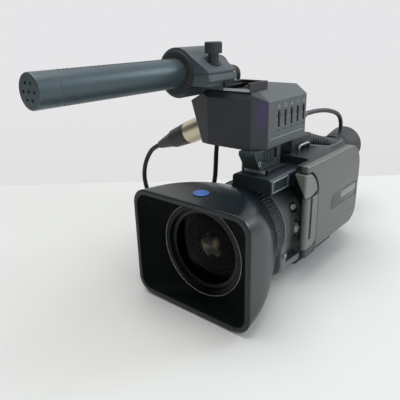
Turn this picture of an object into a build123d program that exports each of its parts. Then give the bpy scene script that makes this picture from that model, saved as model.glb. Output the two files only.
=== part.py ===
"""A small professional camcorder with a top audio adaptor and a shotgun microphone.

Millimetres.  The origin is the mouth of the tripod socket in the base.  The lens
looks along -Y, the folding screen is on the +X side, and +Z is up.
"""
import os
from math import asin, atan2, cos, degrees, hypot, pi, radians, sin, sqrt, tan

from build123d import *

os.makedirs("parts", exist_ok=True)

# ---------------------------------------------------------------- driving sizes
# clearances
seat_gap = 0.2          # between pieces that sit on each other
move_gap = 0.5          # beside pieces that move
soft_gap = 0.3          # round soft pieces
pin_gap = 0.05          # radial, round hinge pins

# lens and hood, all on one axis along Y
lens_z = 44.0
hood_front_y = -130.0
hood_w = 104.0
hood_h = 84.6
hood_corner_r = 12.0
hood_depth = 57.0
hood_rim = 4.5
hood_mid_depth = 17.0
hood_waist_depth = 37.0
hood_waist_w = 93.0
hood_waist_top = 43.6
hood_waist_bottom = 41.6
hood_rear_r = 37.5
filter_setback = 15.0
filter_r = 35.3
filter_len = 9.0
filter_lip = 3.2
glass_r = 30.0
glass_rim = 3.0
glass_bulge = 5.0
tube_r = 30.0
tube_wall = 2.4
barrel_front_y = -55.0
barrel_len = 30.0
barrel_r = 34.0
barrel_rear_r = 32.0
barrel_foot_half_w = 31.5
barrel_foot_corner = 12.0
focus_len = 16.8
focus_ribs = 72
inner_lens_r = 14.0
inner_lens_y = -98.0
mount_step_r = 22.0

# body
base_thick = 3.0
base_w = 50.0
base_len = 76.0
base_front_y = -23.0
body_top_z = 97.0
body_right_x = 36.5
body_left_x = -44.0
body_inner_x = -26.0
body_rear_y = 72.0
body_slope_y = 14.0
body_rear_top_z = 78.0
ledge_x = 45.0
ledge_top_z = 25.5
upper_floor_z = 60.0

# accessory shoe block over the lens
shoe_x = 9.5
block_front_y = -70.5
block_half_w = 17.0
block_top_z = 90.5
block_drop = 11.8
shoe_inner_w = 18.6
shoe_mouth_w = 12.6
shoe_channel_h = 1.9
shoe_lip = 0.9
shoe_base = 0.7
shoe_wall = 2.2
shoe_len = 24.0
shoe_setback = 8.0

# folding screen
panel_gap = 1.0
panel_thick = 9.0
column_len = 19.4
column_front_y = -50.0
panel_rear_y = 50.0
panel_top_z = 98.0
panel_bottom_z = 26.3
panel_top_r = 22.0
panel_bottom_r = 15.0
field_front_y = -7.0
field_top_z = 64.5
hinge_block_z = 73.0
hinge_block_notch = 2.5
hinge_block_top_z = 92.0
hinge_front_r = 2.4
hinge_block_top_len = 8.0
hinge_gap = 1.3
screen_w = 71.0
screen_h = 53.0
lcd_pin_r = 1.2

# viewfinder
finder_x = -10.0
finder_z = 68.5
finder_pivot_y = 40.0
finder_half = 13.5
finder_rear_y = 114.0
finder_pin_r = 2.0
eyepiece_r = 13.5
eyecup_r = 19.5
eyecup_rear_y = 148.0

# battery
battery_w = 36.0
battery_h = 38.5
battery_d = 27.0
battery_x = 13.5
battery_z = 12.0
battery_plate_y = 44.5

# cassette side
lid_x = -48.0
lid_wall = 2.4
lid_front_y = -22.0
lid_rear_y = 69.0
lid_hinge_z = 57.0
lid_bottom_z = 5.0
lid_corner_r = 7.0
lid_pin_r = 1.25
lid_bead_r = 2.6
cassette_w = 66.0
cassette_t = 12.2
carriage_wall = 1.2
strap_w = 24.0
strap_thick = 2.6
strap_bulge = 24.0
strap_z = 32.0
lug_r = 1.3
lug_reach = 5.5

# audio adaptor
adaptor_front_y = -70.0
adaptor_rear_y = -2.0
adaptor_bottom_z = 109.0
adaptor_top_z = 150.0
adaptor_right_x = 17.5
adaptor_left_x = -50.0
adaptor_seam_left_x = -29.0
adaptor_seam_right_x = 10.0
adaptor_chamfer_y = 12.0
adaptor_cover_depth = 12.0
adaptor_left_slope = 13.5
adaptor_left_drop = 9.8
adaptor_bevel_w = 9.5
adaptor_bevel_h = 7.0
switch_count = 5
switch_pitch = 9.4
switch_first_y = -43.5
switch_z = 128.7
switch_slot_h = 12.6
switch_slot_w = 3.0
switch_depth = 2.4
top_shoe_x = -3.6
top_shoe_y = -68.0
top_shoe_len = 23.0
top_shoe_h = 6.0
xlr_y = -51.0
xlr_pitch = 27.0
xlr_socket_r = 11.5
xlr_socket_sink = 13.0
xlr_socket_proud = 1.2

# pedestal under the adaptor
pedestal_w = 14.0
pedestal_front_top_y = -75.0
pedestal_front_y = -66.0
pedestal_rear_y = -38.0
wheel_r = 9.0
wheel_h = 7.0
wheel_y = -53.0
wheel_z = 103.6
wheel_axle_r = 2.0
wheel_ribs = 24

# jack block, plug and cable behind the pedestal
jack_x = 10.0
jack_y = -19.0
jack_len = 10.0
jack_w = 12.0
jack_h = 11.4
plug_len = 24.0
plug_nose = 4.0
boot_len = 43.0
boot_r = 5.2
boot_end_r = 3.2
boot_ribs = 8
cable_d = 3.8
mic_cable_d = 4.2

# microphone
mic_x = -44.8
mic_z = adaptor_top_z + 12.6
mic_r = 10.5
mic_front_y = -203.5
mic_rear_y = -38.0
mic_cap_len = 14.0
mic_cap_hole_r = 1.15
mic_slots = 28
gland_len = 12.0
gland_r = 3.4
rubber_flange = 1.2
rubber_r = 13.0
holder_r = 17.9
holder_front_y = -85.0
holder_len = 32.0
holder_right_x = -15.0
holder_split = 0.4
holder_shelf_z = 167.7
holder_knuckle_r = 3.2
holder_pin_r = 1.2
clamp_x = -23.5
clamp_y = -68.5
clamp_head_r = 6.3
clamp_head_h = 8.0
clamp_neck_r = 3.9
clamp_neck_h = 8.0
clamp_thread_r = 2.4
clamp_tip = 3.5

# microphone plug
xlr_r = 9.5
xlr_shell_len = 25.0
xlr_body_len = 19.0
xlr_boot_len = 20.0
xlr_boot_r = 4.0

# ---------------------------------------------------------------- helpers
lens_axis = Axis((0, 0, lens_z), (0, 1, 0))


def front_plane(y):
    """A sketch plane facing the front: its x is X and its y is Z."""
    return Plane(origin=(0, y, 0), x_dir=(1, 0, 0), z_dir=(0, -1, 0))


def side_plane(x):
    """A sketch plane facing +X: its x is Y and its y is Z."""
    return Plane(origin=(x, 0, 0), x_dir=(0, 1, 0), z_dir=(1, 0, 0))


def top_plane(z):
    """A sketch plane facing up: its x is X and its y is Y."""
    return Plane.XY.offset(z)


def save(piece, name):
    """Label a finished piece and write it as its own file."""
    piece.part.label = name
    export_step(piece.part, f"parts/{name}.step")


def box_between(x, y, z, mode=Mode.ADD):
    """A box given by its (low, high) pairs along X, Y and Z."""
    centre = ((x[0] + x[1]) / 2, (y[0] + y[1]) / 2, (z[0] + z[1]) / 2)
    with Locations(centre):
        Box(x[1] - x[0], y[1] - y[0], z[1] - z[0], mode=mode)


def rod(start, direction, radius, length, mode=Mode.ADD):
    """A cylinder that starts at a point and runs along a direction."""
    with BuildSketch(Plane(origin=start, z_dir=direction)) as disc:
        Circle(radius)
    extrude(disc.sketch, amount=length, mode=mode)


def dome_middle(edge_y, radius, sag):
    """The middle point of a dome's profile: the apex is ahead of its edge by sag."""
    sphere = (radius ** 2 + sag ** 2) / (2 * sag)
    half = atan2(radius, sphere - sag) / 2
    return (edge_y - sag + sphere * (1 - cos(half)), lens_z + sphere * sin(half))


def corner_radii(points):
    """The arc radius at each inner point of a cord's route."""
    radii = []
    for before, here, after in zip(points, points[1:], points[2:]):
        run_in = Vector(*here) - Vector(*before)
        run_out = Vector(*after) - Vector(*here)
        turn = radians(run_in.get_angle(run_out))
        radii.append(0.45 * min(run_in.length, run_out.length) / tan(turn / 2))
    return radii


def cord_part(name, points, diameter):
    """A round cord along straight runs joined by arcs."""
    radii = corner_radii(points)
    with BuildPart() as cord:
        with BuildLine() as route:
            FilletPolyline(*points, radius=radii)
        start = Plane(origin=route.line @ 0, z_dir=route.line % 0)
        with BuildSketch(start):
            Circle(diameter / 2)
        sweep(path=route.line)
    length = sum(edge.length for edge in route.line.edges())
    section = pi * diameter ** 2 / 4
    print(name, "radii", [round(r, 1) for r in radii], "length", round(length, 1),
          "volume ratio", round(cord.part.volume / (section * length), 4))
    save(cord, name)


# ---------------------------------------------------------------- lens and hood
filter_front_y = hood_front_y + filter_setback
filter_rear_y = filter_front_y + filter_len
tube_front_y = filter_front_y + filter_lip
tube_in_r = tube_r - tube_wall
barrel_rear_y = barrel_front_y + barrel_len
hood_rear_y = hood_front_y + hood_depth
hood_pocket_r = filter_r + seat_gap
hood_bore_r = tube_r + seat_gap
hood_waist_h = hood_waist_top + hood_waist_bottom
hood_waist_z = lens_z + (hood_waist_top - hood_waist_bottom) / 2
rear_corner = hood_rear_r - 1.5

with BuildPart() as lens_hood:
    with BuildSketch(front_plane(hood_front_y)):
        with Locations((0, lens_z)):
            RectangleRounded(hood_w, hood_h, hood_corner_r)
    with BuildSketch(front_plane(hood_front_y + hood_mid_depth)):
        with Locations((0, lens_z)):
            RectangleRounded(hood_w - 1.5, hood_h + 0.8, hood_corner_r + 6)
    with BuildSketch(front_plane(hood_front_y + hood_waist_depth)):
        with Locations((0, hood_waist_z)):
            RectangleRounded(hood_waist_w, hood_waist_h, 0.38 * hood_waist_w)
    with BuildSketch(front_plane(hood_rear_y)):
        with Locations((0, lens_z)):
            RectangleRounded(2 * hood_rear_r, 2 * hood_rear_r, rear_corner)
    loft()
    with BuildSketch(front_plane(hood_front_y)):
        with Locations((0, lens_z)):
            RectangleRounded(hood_w - 2 * hood_rim, hood_h - 2 * hood_rim, hood_corner_r - hood_rim + 1)
    with BuildSketch(front_plane(filter_front_y)):
        with Locations((0, lens_z)):
            RectangleRounded(2 * hood_pocket_r, 2 * hood_pocket_r, hood_pocket_r - 0.5)
    loft(mode=Mode.SUBTRACT)
    rod((0, filter_front_y, lens_z), (0, 1, 0), hood_pocket_r, filter_len + seat_gap, Mode.SUBTRACT)
    rod((0, filter_front_y, lens_z), (0, 1, 0), hood_bore_r, hood_depth, Mode.SUBTRACT)
save(lens_hood, "lens_hood")

with BuildPart() as filter_ring:
    with BuildSketch(side_plane(0)):
        with BuildLine():
            Polyline(
                (filter_front_y, lens_z + glass_r + 1.2),
                (filter_front_y, lens_z + filter_r - 1.2),
                (filter_front_y + 0.8, lens_z + filter_r),
                (filter_rear_y, lens_z + filter_r),
                (filter_rear_y, lens_z + tube_r + seat_gap),
                (tube_front_y - seat_gap, lens_z + tube_r + seat_gap),
                (tube_front_y - seat_gap, lens_z + glass_r + 0.4),
                close=True,
            )
        make_face()
    revolve(axis=lens_axis)
save(filter_ring, "filter_ring")

with BuildPart() as front_lens:
    with BuildSketch(side_plane(0)):
        glass_edge_y = tube_front_y + glass_rim
        glass_edge_z = lens_z + tube_in_r - seat_gap
        with BuildLine():
            Polyline(
                (glass_edge_y - glass_bulge, lens_z),
                (glass_edge_y + 2.0, lens_z),
                (glass_edge_y + 2.0, glass_edge_z),
                (glass_edge_y, glass_edge_z),
            )
            ThreePointArc(
                (glass_edge_y, glass_edge_z),
                dome_middle(glass_edge_y, glass_edge_z - lens_z, glass_bulge),
                (glass_edge_y - glass_bulge, lens_z),
            )
        make_face()
    revolve(axis=lens_axis)
save(front_lens, "front_lens")

with BuildPart() as inner_lens:
    with BuildSketch(side_plane(0)):
        mount_r = tube_in_r - seat_gap
        with BuildLine():
            Polyline(
                (inner_lens_y + 10, lens_z),
                (inner_lens_y + 10, lens_z + mount_r),
                (inner_lens_y, lens_z + mount_r),
                (inner_lens_y + 1.5, lens_z + mount_step_r),
                (inner_lens_y + 3.5, lens_z + mount_step_r - 0.5),
                (inner_lens_y + 4.5, lens_z + inner_lens_r + 2),
                (inner_lens_y + 6.0, lens_z + inner_lens_r + 1.5),
                (inner_lens_y + 6.0, lens_z + inner_lens_r),
            )
            ThreePointArc(
                (inner_lens_y + 6.0, lens_z + inner_lens_r),
                dome_middle(inner_lens_y + 6.0, inner_lens_r, 3.6),
                (inner_lens_y + 2.4, lens_z),
            )
            Line((inner_lens_y + 2.4, lens_z), (inner_lens_y + 10, lens_z))
        make_face()
    revolve(axis=lens_axis)
save(inner_lens, "inner_lens")

barrel_floor_z = base_thick + 0.5
with BuildPart() as lens_barrel:
    with BuildSketch(front_plane(barrel_front_y)):
        with BuildLine():
            arc_centre_z = barrel_floor_z + barrel_foot_corner
            Polyline(
                (-barrel_foot_half_w, lens_z),
                (-barrel_foot_half_w, arc_centre_z),
            )
            RadiusArc((-barrel_foot_half_w, arc_centre_z),
                      (-barrel_foot_half_w + barrel_foot_corner, barrel_floor_z), -barrel_foot_corner)
            Line((-barrel_foot_half_w + barrel_foot_corner, barrel_floor_z),
                 (barrel_foot_half_w - barrel_foot_corner, barrel_floor_z))
            RadiusArc((barrel_foot_half_w - barrel_foot_corner, barrel_floor_z),
                      (barrel_foot_half_w, arc_centre_z), -barrel_foot_corner)
            Polyline(
                (barrel_foot_half_w, arc_centre_z),
                (barrel_foot_half_w, lens_z),
                (-barrel_foot_half_w, lens_z),
            )
        make_face()
    extrude(amount=-barrel_len)
    fillet(lens_barrel.faces().sort_by(Axis.Y)[0].edges().filter_by(Plane.XZ).sort_by(Axis.Z)[:3], 2.5)
    with BuildSketch(side_plane(0)):
        with BuildLine():
            Polyline(
                (barrel_front_y, lens_z),
                (barrel_front_y, lens_z + barrel_r - 0.8),
                (barrel_front_y + 0.8, lens_z + barrel_r),
                (barrel_rear_y, lens_z + barrel_rear_r),
                (barrel_rear_y, lens_z),
                close=True,
            )
        make_face()
    revolve(axis=lens_axis)
    with BuildSketch(side_plane(0)):
        with Locations(((tube_front_y + barrel_front_y) / 2, lens_z + tube_r / 2)):
            Rectangle(barrel_front_y - tube_front_y, tube_r)
    revolve(axis=lens_axis)
    bore_len = barrel_front_y - tube_front_y + 12
    rod((0, tube_front_y, lens_z), (0, 1, 0), tube_in_r, bore_len, Mode.SUBTRACT)
    # dark hand-hold pocket low on the screen side
    pocket_x = barrel_foot_half_w - 7
    box_between((pocket_x, barrel_r + 2), (barrel_front_y + 6, barrel_rear_y - 2), (16.5, 29), Mode.SUBTRACT)
save(lens_barrel, "lens_barrel")

focus_rear_y = barrel_front_y - move_gap
focus_front_y = focus_rear_y - focus_len
with BuildPart() as focus_ring:
    with BuildSketch(side_plane(0)):
        with BuildLine():
            Polyline(
                (focus_front_y, lens_z + tube_r + pin_gap),
                (focus_front_y, lens_z + barrel_r - 1.0),
                (focus_front_y + 1.0, lens_z + barrel_r),
                (focus_rear_y - 1.0, lens_z + barrel_r),
                (focus_rear_y, lens_z + barrel_r - 1.0),
                (focus_rear_y, lens_z + tube_r + pin_gap),
                close=True,
            )
        make_face()
    revolve(axis=lens_axis)
    rib_pitch = 2 * pi * barrel_r / focus_ribs
    with BuildSketch(front_plane(focus_front_y + 2.2)):
        with Locations((0, lens_z)):
            with PolarLocations(barrel_r, focus_ribs):
                Rectangle(1.6, 0.48 * rib_pitch)
    extrude(amount=-(focus_len - 4.4), mode=Mode.SUBTRACT)
save(focus_ring, "focus_ring")

# controls on the screen side of the barrel, set square to its surface


def barrel_spot(y, angle):
    """The point on the barrel at a station y, at an angle above the horizontal."""
    fraction = (y - barrel_front_y) / barrel_len
    radius = barrel_r + (barrel_rear_r - barrel_r) * fraction
    return Vector(radius * cos(radians(angle)), y, lens_z + radius * sin(radians(angle)))


def barrel_plane(y, angle, lift=0.0):
    """A plane on the barrel's surface, facing out, its x along the lens axis."""
    out = Vector(cos(radians(angle)), 0, sin(radians(angle)))
    return Plane(origin=barrel_spot(y, angle) + out * lift, x_dir=(0, 1, 0), z_dir=out)


focus_button_y = -37.0
focus_button_angle = 28.3
focus_button_travel = 1.0
nd_switch_y = -37.0
nd_switch_angle = -3.0
nd_switch_travel = 4.0
auto_button_y = -52.0
auto_button_z = 24.0

with BuildPart() as focus_button:
    with BuildSketch(barrel_plane(focus_button_y, focus_button_angle, -1.6)):
        SlotOverall(7.0, 3.8)
    extrude(amount=2.8)
    fillet(focus_button.faces().sort_by(Axis((0, 0, 0), (cos(radians(focus_button_angle)), 0,
                                                        sin(radians(focus_button_angle)))))[-1].edges(), 0.6)
save(focus_button, "focus_button")

with BuildPart() as nd_switch:
    with BuildSketch(barrel_plane(nd_switch_y, nd_switch_angle, -3.0)):
        RectangleRounded(5.8, 8.0, 1.2)
    extrude(amount=3.0)
    with BuildSketch(barrel_plane(nd_switch_y, nd_switch_angle, 0)):
        RectangleRounded(5.0, 4.6, 1.0)
    extrude(amount=2.2, taper=12)
save(nd_switch, "nd_switch")

with BuildPart() as auto_button:
    rod((barrel_foot_half_w - 2.0, auto_button_y, auto_button_z), (1, 0, 0), 2.2, 3.6)
    fillet(auto_button.faces().sort_by(Axis.X)[-1].edges(), 0.8)
save(auto_button, "auto_button")

with BuildPart() as lens_barrel_done:
    add(lens_barrel.part)
    with BuildSketch(barrel_plane(focus_button_y, focus_button_angle, -1.8 - focus_button_travel)):
        SlotOverall(7.0 + 2 * move_gap, 3.8 + 2 * move_gap)
    extrude(amount=8, mode=Mode.SUBTRACT)
    with BuildSketch(barrel_plane(nd_switch_y, nd_switch_angle, -3.2)):
        RectangleRounded(6.6, 8.6 + 2 * nd_switch_travel, 1.5)
    extrude(amount=8, mode=Mode.SUBTRACT)
    rod((barrel_foot_half_w - 3.4, auto_button_y, auto_button_z), (1, 0, 0), 2.2 + seat_gap, 8, Mode.SUBTRACT)
save(lens_barrel_done, "lens_barrel")

# ---------------------------------------------------------------- base
with BuildPart() as base_plate:
    with BuildSketch():
        with Locations((0, base_front_y + base_len / 2)):
            RectangleRounded(base_w, base_len, 6)
    extrude(amount=base_thick)
    fillet(base_plate.faces().sort_by(Axis.Z)[0].edges(), 0.8)
    with Locations((0, 0, base_thick)):
        Hole(6.0 + seat_gap)
    with Locations((0, -12.5, base_thick)):
        Hole(2.25)
save(base_plate, "base_plate")

socket_len = 9.0
socket_bore_r = 2.75
with BuildPart() as tripod_socket:
    rod((0, 0, 0), (0, 0, 1), 6.0, socket_len)
    rod((0, 0, 0), (0, 0, 1), socket_bore_r, socket_len - 1.5, Mode.SUBTRACT)
save(tripod_socket, "tripod_socket")

# ---------------------------------------------------------------- body shell
body_floor_z = base_thick + 0.0
panel_in_x = body_right_x + panel_gap
panel_out_x = panel_in_x + panel_thick
lcd_axis_x = panel_out_x - hinge_front_r
lcd_axis_y = column_front_y + 1.6 + hinge_front_r
column_rear_y = column_front_y + column_len
column_low_z = panel_bottom_z + 5.0
step_low_z = ledge_top_z - 1.3
hinge_inner_y = column_front_y + 15.0
slope = (body_top_z - body_rear_top_z) / (body_rear_y - body_slope_y)
trough_left_x = finder_x - finder_half - 1.0
trough_right_x = finder_x + finder_half + 1.0
trough_floor_z = finder_z - finder_half - 1.0
trough_front_y = finder_pivot_y - finder_half - 2.5
battery_left_x = battery_x - battery_w / 2
rear_cut_x = battery_left_x - 1.0
block_x = 12.0

rocker_x = -34.0
rocker_y = 3.0
rocker_len = 19.0
rocker_w = 9.0
rocker_pivot_z = body_top_z - 2.2
lug_x = 18.0
lug_front_y = -12.0
lug_rear_y = 6.0
press = 1.2
dial_x = -15.2
dial_z = 25.0
dial_r = 8.5
dial_h = 5.0
start_r = 5.2
latch_x = -13.0
latch_z = 44.5
latch_travel = 3.0



def column_plan(rear_y):
    """Draw the plan of the screen's hinge: round at the pin, slanted on the inner side."""
    reach_x = lcd_axis_x - panel_in_x
    reach_y = lcd_axis_y - hinge_inner_y
    reach = hypot(reach_x, reach_y)
    heading = atan2(reach_y, reach_x) - asin(hinge_front_r / reach)
    touch = sqrt(reach ** 2 - hinge_front_r ** 2)
    tangent = (panel_in_x + touch * cos(heading), hinge_inner_y + touch * sin(heading))
    with Locations((lcd_axis_x, lcd_axis_y)):
        Circle(hinge_front_r)
    Polygon(tangent, (lcd_axis_x, lcd_axis_y), (panel_out_x, lcd_axis_y), (panel_out_x, rear_y),
            (panel_in_x, rear_y), (panel_in_x, hinge_inner_y), align=None)


with BuildPart() as body_shell:
    with BuildSketch(front_plane(barrel_rear_y)):
        with BuildLine():
            Polyline(
                (24, body_floor_z),
                (body_inner_x, body_floor_z),
                (body_inner_x, upper_floor_z),
                (body_left_x, upper_floor_z),
                (body_left_x, body_top_z),
                (body_right_x, body_top_z),
                (body_right_x, ledge_top_z),
                (ledge_x - 1.0, ledge_top_z),
            )
            ThreePointArc((ledge_x - 1.0, ledge_top_z), (35.4, 14.4), (24, body_floor_z))
        make_face()
    extrude(amount=-(body_rear_y - barrel_rear_y))
    long_top = body_shell.edges().filter_by(Axis.Y).group_by(Axis.Z)[-1]
    fillet(long_top, 5.0)
    # the top falls away to the rear
    with BuildSketch(side_plane(body_left_x - 10)):
        with BuildLine():
            Polyline(
                (body_slope_y, body_top_z),
                (body_rear_y + 5, body_rear_top_z - 5 * slope),
                (body_rear_y + 5, body_top_z + 5),
                (body_slope_y, body_top_z + 5),
                close=True,
            )
        make_face()
    extrude(amount=120, mode=Mode.SUBTRACT)
    # knuckles for the cassette lid's pin
    for y in (barrel_rear_y, lid_rear_y + move_gap):
        with BuildSketch(front_plane(y)):
            with Locations((lid_x + lid_bead_r - 0.6, lid_hinge_z)):
                Circle(lid_bead_r)
            with BuildLine():
                Polyline(
                    (lid_x + lid_bead_r - 0.6, lid_hinge_z - lid_bead_r),
                    (body_inner_x + 2, lid_hinge_z - lid_bead_r),
                    (body_inner_x + 2, upper_floor_z + 2),
                    (body_left_x + 1.5, upper_floor_z + 2),
                    (lid_x + lid_bead_r - 0.6, lid_hinge_z + lid_bead_r),
                    close=True,
                )
            make_face()
        extrude(amount=-(body_rear_y - lid_rear_y - move_gap))
    # the upper left front corner is cut back
    with BuildSketch(top_plane(upper_floor_z - 5)):
        Polygon((body_left_x - 1, barrel_rear_y - 1), (-28, barrel_rear_y - 1),
                (-28, barrel_rear_y), (body_left_x, -3), (body_left_x - 1, -3), align=None)
    extrude(amount=60, mode=Mode.SUBTRACT)
    # open corner for the battery
    box_between((rear_cut_x, ledge_x + 5), (battery_plate_y, body_rear_y + 5),
                (0, battery_z + battery_h + seat_gap), Mode.SUBTRACT)
    # trough for the viewfinder
    box_between((trough_left_x, trough_right_x), (trough_front_y, body_rear_y + 5),
                (trough_floor_z, body_top_z + 5), Mode.SUBTRACT)
    # pad that carries the fixed hinge block, and the step below the screen's column
    box_between((body_right_x - 2.4, body_right_x + 0.5), (hinge_inner_y, barrel_rear_y + 2),
                (hinge_block_z + 1.5, hinge_block_top_z - 1.5))
    with BuildSketch(top_plane(step_low_z)):
        column_plan(column_rear_y)
    extrude(amount=column_low_z - move_gap - step_low_z)
    box_between((barrel_rear_r + 1.5, ledge_x - 1.5), (column_rear_y - 3, barrel_rear_y + 2),
                (step_low_z - 2, ledge_top_z))
    # block over the lens that carries the shoe
    with BuildSketch(front_plane(block_front_y)):
        with Locations((block_x, block_top_z - block_drop / 2)):
            Rectangle(2 * block_half_w, block_drop)
    extrude(amount=-(barrel_rear_y - block_front_y + 5))
    block_long = body_shell.edges().filter_by(Axis.Y).filter_by(
        lambda e: e.center().Y < -30 and abs(e.center().Z - block_top_z) < 0.1)
    fillet(block_long, 3.5)
    # jack block on the top
    box_between((jack_x - jack_w / 2, jack_x + jack_w / 2), (jack_y, jack_y + jack_len),
                (body_top_z - 1, body_top_z + jack_h))
    box_between((jack_x - 3, jack_x + 3), (jack_y + jack_len - plug_nose - seat_gap, jack_y + jack_len),
                (body_top_z + 3.4, body_top_z + 9.0), Mode.SUBTRACT)
    # holes and pockets
    lid_axis_x = lid_x + lid_bead_r - 0.6
    rod((lid_axis_x, barrel_rear_y - 1, lid_hinge_z), (0, 1, 0), lid_pin_r + pin_gap, 4, Mode.SUBTRACT)
    rod((lid_axis_x, lid_rear_y, lid_hinge_z), (0, 1, 0), lid_pin_r + pin_gap, 4, Mode.SUBTRACT)
    rod((lcd_axis_x, lcd_axis_y, step_low_z + 1), (0, 0, 1), lcd_pin_r + pin_gap, 8, Mode.SUBTRACT)
    rod((0, 0, 0), (0, 0, 1), 6.0 + seat_gap, socket_len + seat_gap, Mode.SUBTRACT)
    rod((trough_left_x - 7, finder_pivot_y, finder_z), (1, 0, 0), finder_pin_r + pin_gap, 8, Mode.SUBTRACT)
    rod((trough_right_x - 1, finder_pivot_y, finder_z), (1, 0, 0), finder_pin_r + pin_gap, 8, Mode.SUBTRACT)
    box_between((rocker_x - rocker_w / 2 - move_gap, rocker_x + rocker_w / 2 + move_gap),
                (rocker_y - rocker_len / 2 - move_gap, rocker_y + rocker_len / 2 + move_gap),
                (body_top_z - 5, body_top_z + 1), Mode.SUBTRACT)
    rod((rocker_x - rocker_w / 2 - 2, rocker_y, rocker_pivot_z), (1, 0, 0), 1.25, rocker_w + 4, Mode.SUBTRACT)
    for y in (lug_front_y, lug_rear_y):
        rod((lug_x, y, body_top_z - 4), (0, 0, 1), lug_r + seat_gap, 5, Mode.SUBTRACT)
    rod((dial_x, body_rear_y - 4, dial_z), (0, 1, 0), dial_r + move_gap, 6, Mode.SUBTRACT)
    rod((dial_x, body_rear_y - 9, dial_z), (0, 1, 0), start_r + seat_gap, 12, Mode.SUBTRACT)
    box_between((latch_x - 4.5, latch_x + 4.5), (body_rear_y - 3.2, body_rear_y + 1),
                (latch_z - 5.5 - latch_travel, latch_z + 5.5), Mode.SUBTRACT)
save(body_shell, "body_shell")

# ---------------------------------------------------------------- accessory shoe on the body
shoe_front_y = block_front_y + shoe_setback
shoe_floor_z = block_top_z + seat_gap
shoe_top_z = shoe_floor_z + shoe_base + shoe_channel_h + shoe_lip


def shoe_section(centre_x, floor_z, inner_w, mouth_w, base, channel_h, lip, wall):
    """Draw the C-shaped section of an accessory shoe in the current front sketch."""
    outer_h = base + channel_h + lip
    with Locations((centre_x, floor_z + outer_h / 2)):
        Rectangle(inner_w + 2 * wall, outer_h)
    with Locations((centre_x, floor_z + base + channel_h / 2)):
        Rectangle(inner_w, channel_h, mode=Mode.SUBTRACT)
    with Locations((centre_x, floor_z + base + channel_h + lip / 2)):
        Rectangle(mouth_w, lip, mode=Mode.SUBTRACT)


with BuildPart() as accessory_shoe:
    with BuildSketch(front_plane(shoe_front_y)):
        shoe_section(shoe_x, shoe_floor_z, shoe_inner_w, shoe_mouth_w, shoe_base,
                     shoe_channel_h, shoe_lip, shoe_wall)
    extrude(amount=-shoe_len)
save(accessory_shoe, "accessory_shoe")

# ---------------------------------------------------------------- folding screen
panel_front_y = column_rear_y + 0.6
hinge_block_front_y = column_front_y - 1.5
hinge_block_rear_y = hinge_block_front_y + 20.7


def hinge_block_outline():
    """Draw the fixed block's side view, with its curved rear edge."""
    rear_foot = (hinge_block_rear_y, hinge_block_z + hinge_block_notch)
    rear_top = (hinge_block_front_y + hinge_block_top_len, hinge_block_top_z)
    with BuildLine() as outline:
        Polyline(
            rear_foot,
            (hinge_block_front_y + 11, hinge_block_z),
            (hinge_block_front_y, hinge_block_z),
            (hinge_block_front_y, hinge_block_top_z),
            rear_top,
        )
        ThreePointArc(rear_top, (hinge_block_rear_y - 3.8, hinge_block_z + 11.8), rear_foot)
    make_face(outline.edges())


with BuildPart() as hinge_block:
    with BuildSketch(side_plane(body_right_x + 0.7)):
        hinge_block_outline()
    extrude(amount=panel_out_x - body_right_x - 0.7)
    fillet(hinge_block.faces().sort_by(Axis.X)[-1].edges(), 1.8)
    # the front leans back towards the barrel
    inner_x = body_right_x + 0.7
    lean_top = Vector(inner_x, hinge_block_front_y, hinge_block_top_z)
    lean_low = Vector(inner_x, hinge_inner_y, hinge_block_z)
    lean_out = Vector(panel_out_x, hinge_block_front_y + 1, hinge_block_z)
    lean_normal = (lean_low - lean_top).cross(lean_out - lean_top).normalized()
    split(bisect_by=Plane(origin=lean_top, z_dir=lean_normal), keep=Keep.BOTH)
    kept = hinge_block.solids().sort_by(SortBy.VOLUME)[-1]
    rod_hole = lcd_pin_r + pin_gap
with BuildPart() as hinge_block_done:
    add(kept)
    rod((lcd_axis_x, lcd_axis_y, hinge_block_z - 1), (0, 0, 1), rod_hole, 8, Mode.SUBTRACT)
save(hinge_block_done, "hinge_block")

column_high_z = hinge_block_z - move_gap
tilt_z = (column_low_z + column_high_z) / 2
with BuildPart() as lcd_column:
    with BuildSketch(top_plane(column_low_z)):
        column_plan(column_rear_y)
    extrude(amount=column_high_z - column_low_z)
    low_rear = lcd_column.edges().filter_by(Axis.X).filter_by(
        lambda e: e.center().Y > column_rear_y - 0.1).sort_by(Axis.Z)[0]
    fillet(low_rear, 6.0)
    box_between((panel_out_x - 1.4, panel_out_x + 1), (lcd_axis_y + 3.0, lcd_axis_y + 7.0),
                (column_low_z + 7, column_high_z + 1), Mode.SUBTRACT)
    rod((lcd_axis_x, lcd_axis_y, column_low_z - 1), (0, 0, 1), lcd_pin_r + pin_gap, 8, Mode.SUBTRACT)
    rod((lcd_axis_x, lcd_axis_y, column_high_z - 7), (0, 0, 1), lcd_pin_r + pin_gap, 8, Mode.SUBTRACT)
    rod((panel_in_x + panel_thick / 2, column_rear_y - 1, tilt_z), (0, 1, 0), 2.8, 4)
save(lcd_column, "lcd_column")

with BuildPart() as lcd_pins:
    rod((lcd_axis_x, lcd_axis_y, step_low_z + 1.5), (0, 0, 1), lcd_pin_r, column_low_z - step_low_z + 5)
    rod((lcd_axis_x, lcd_axis_y, column_high_z - 6.5), (0, 0, 1), lcd_pin_r, 13)
save(lcd_pins, "lcd_pins")

tongue_front_y = column_front_y + 0.6


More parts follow.
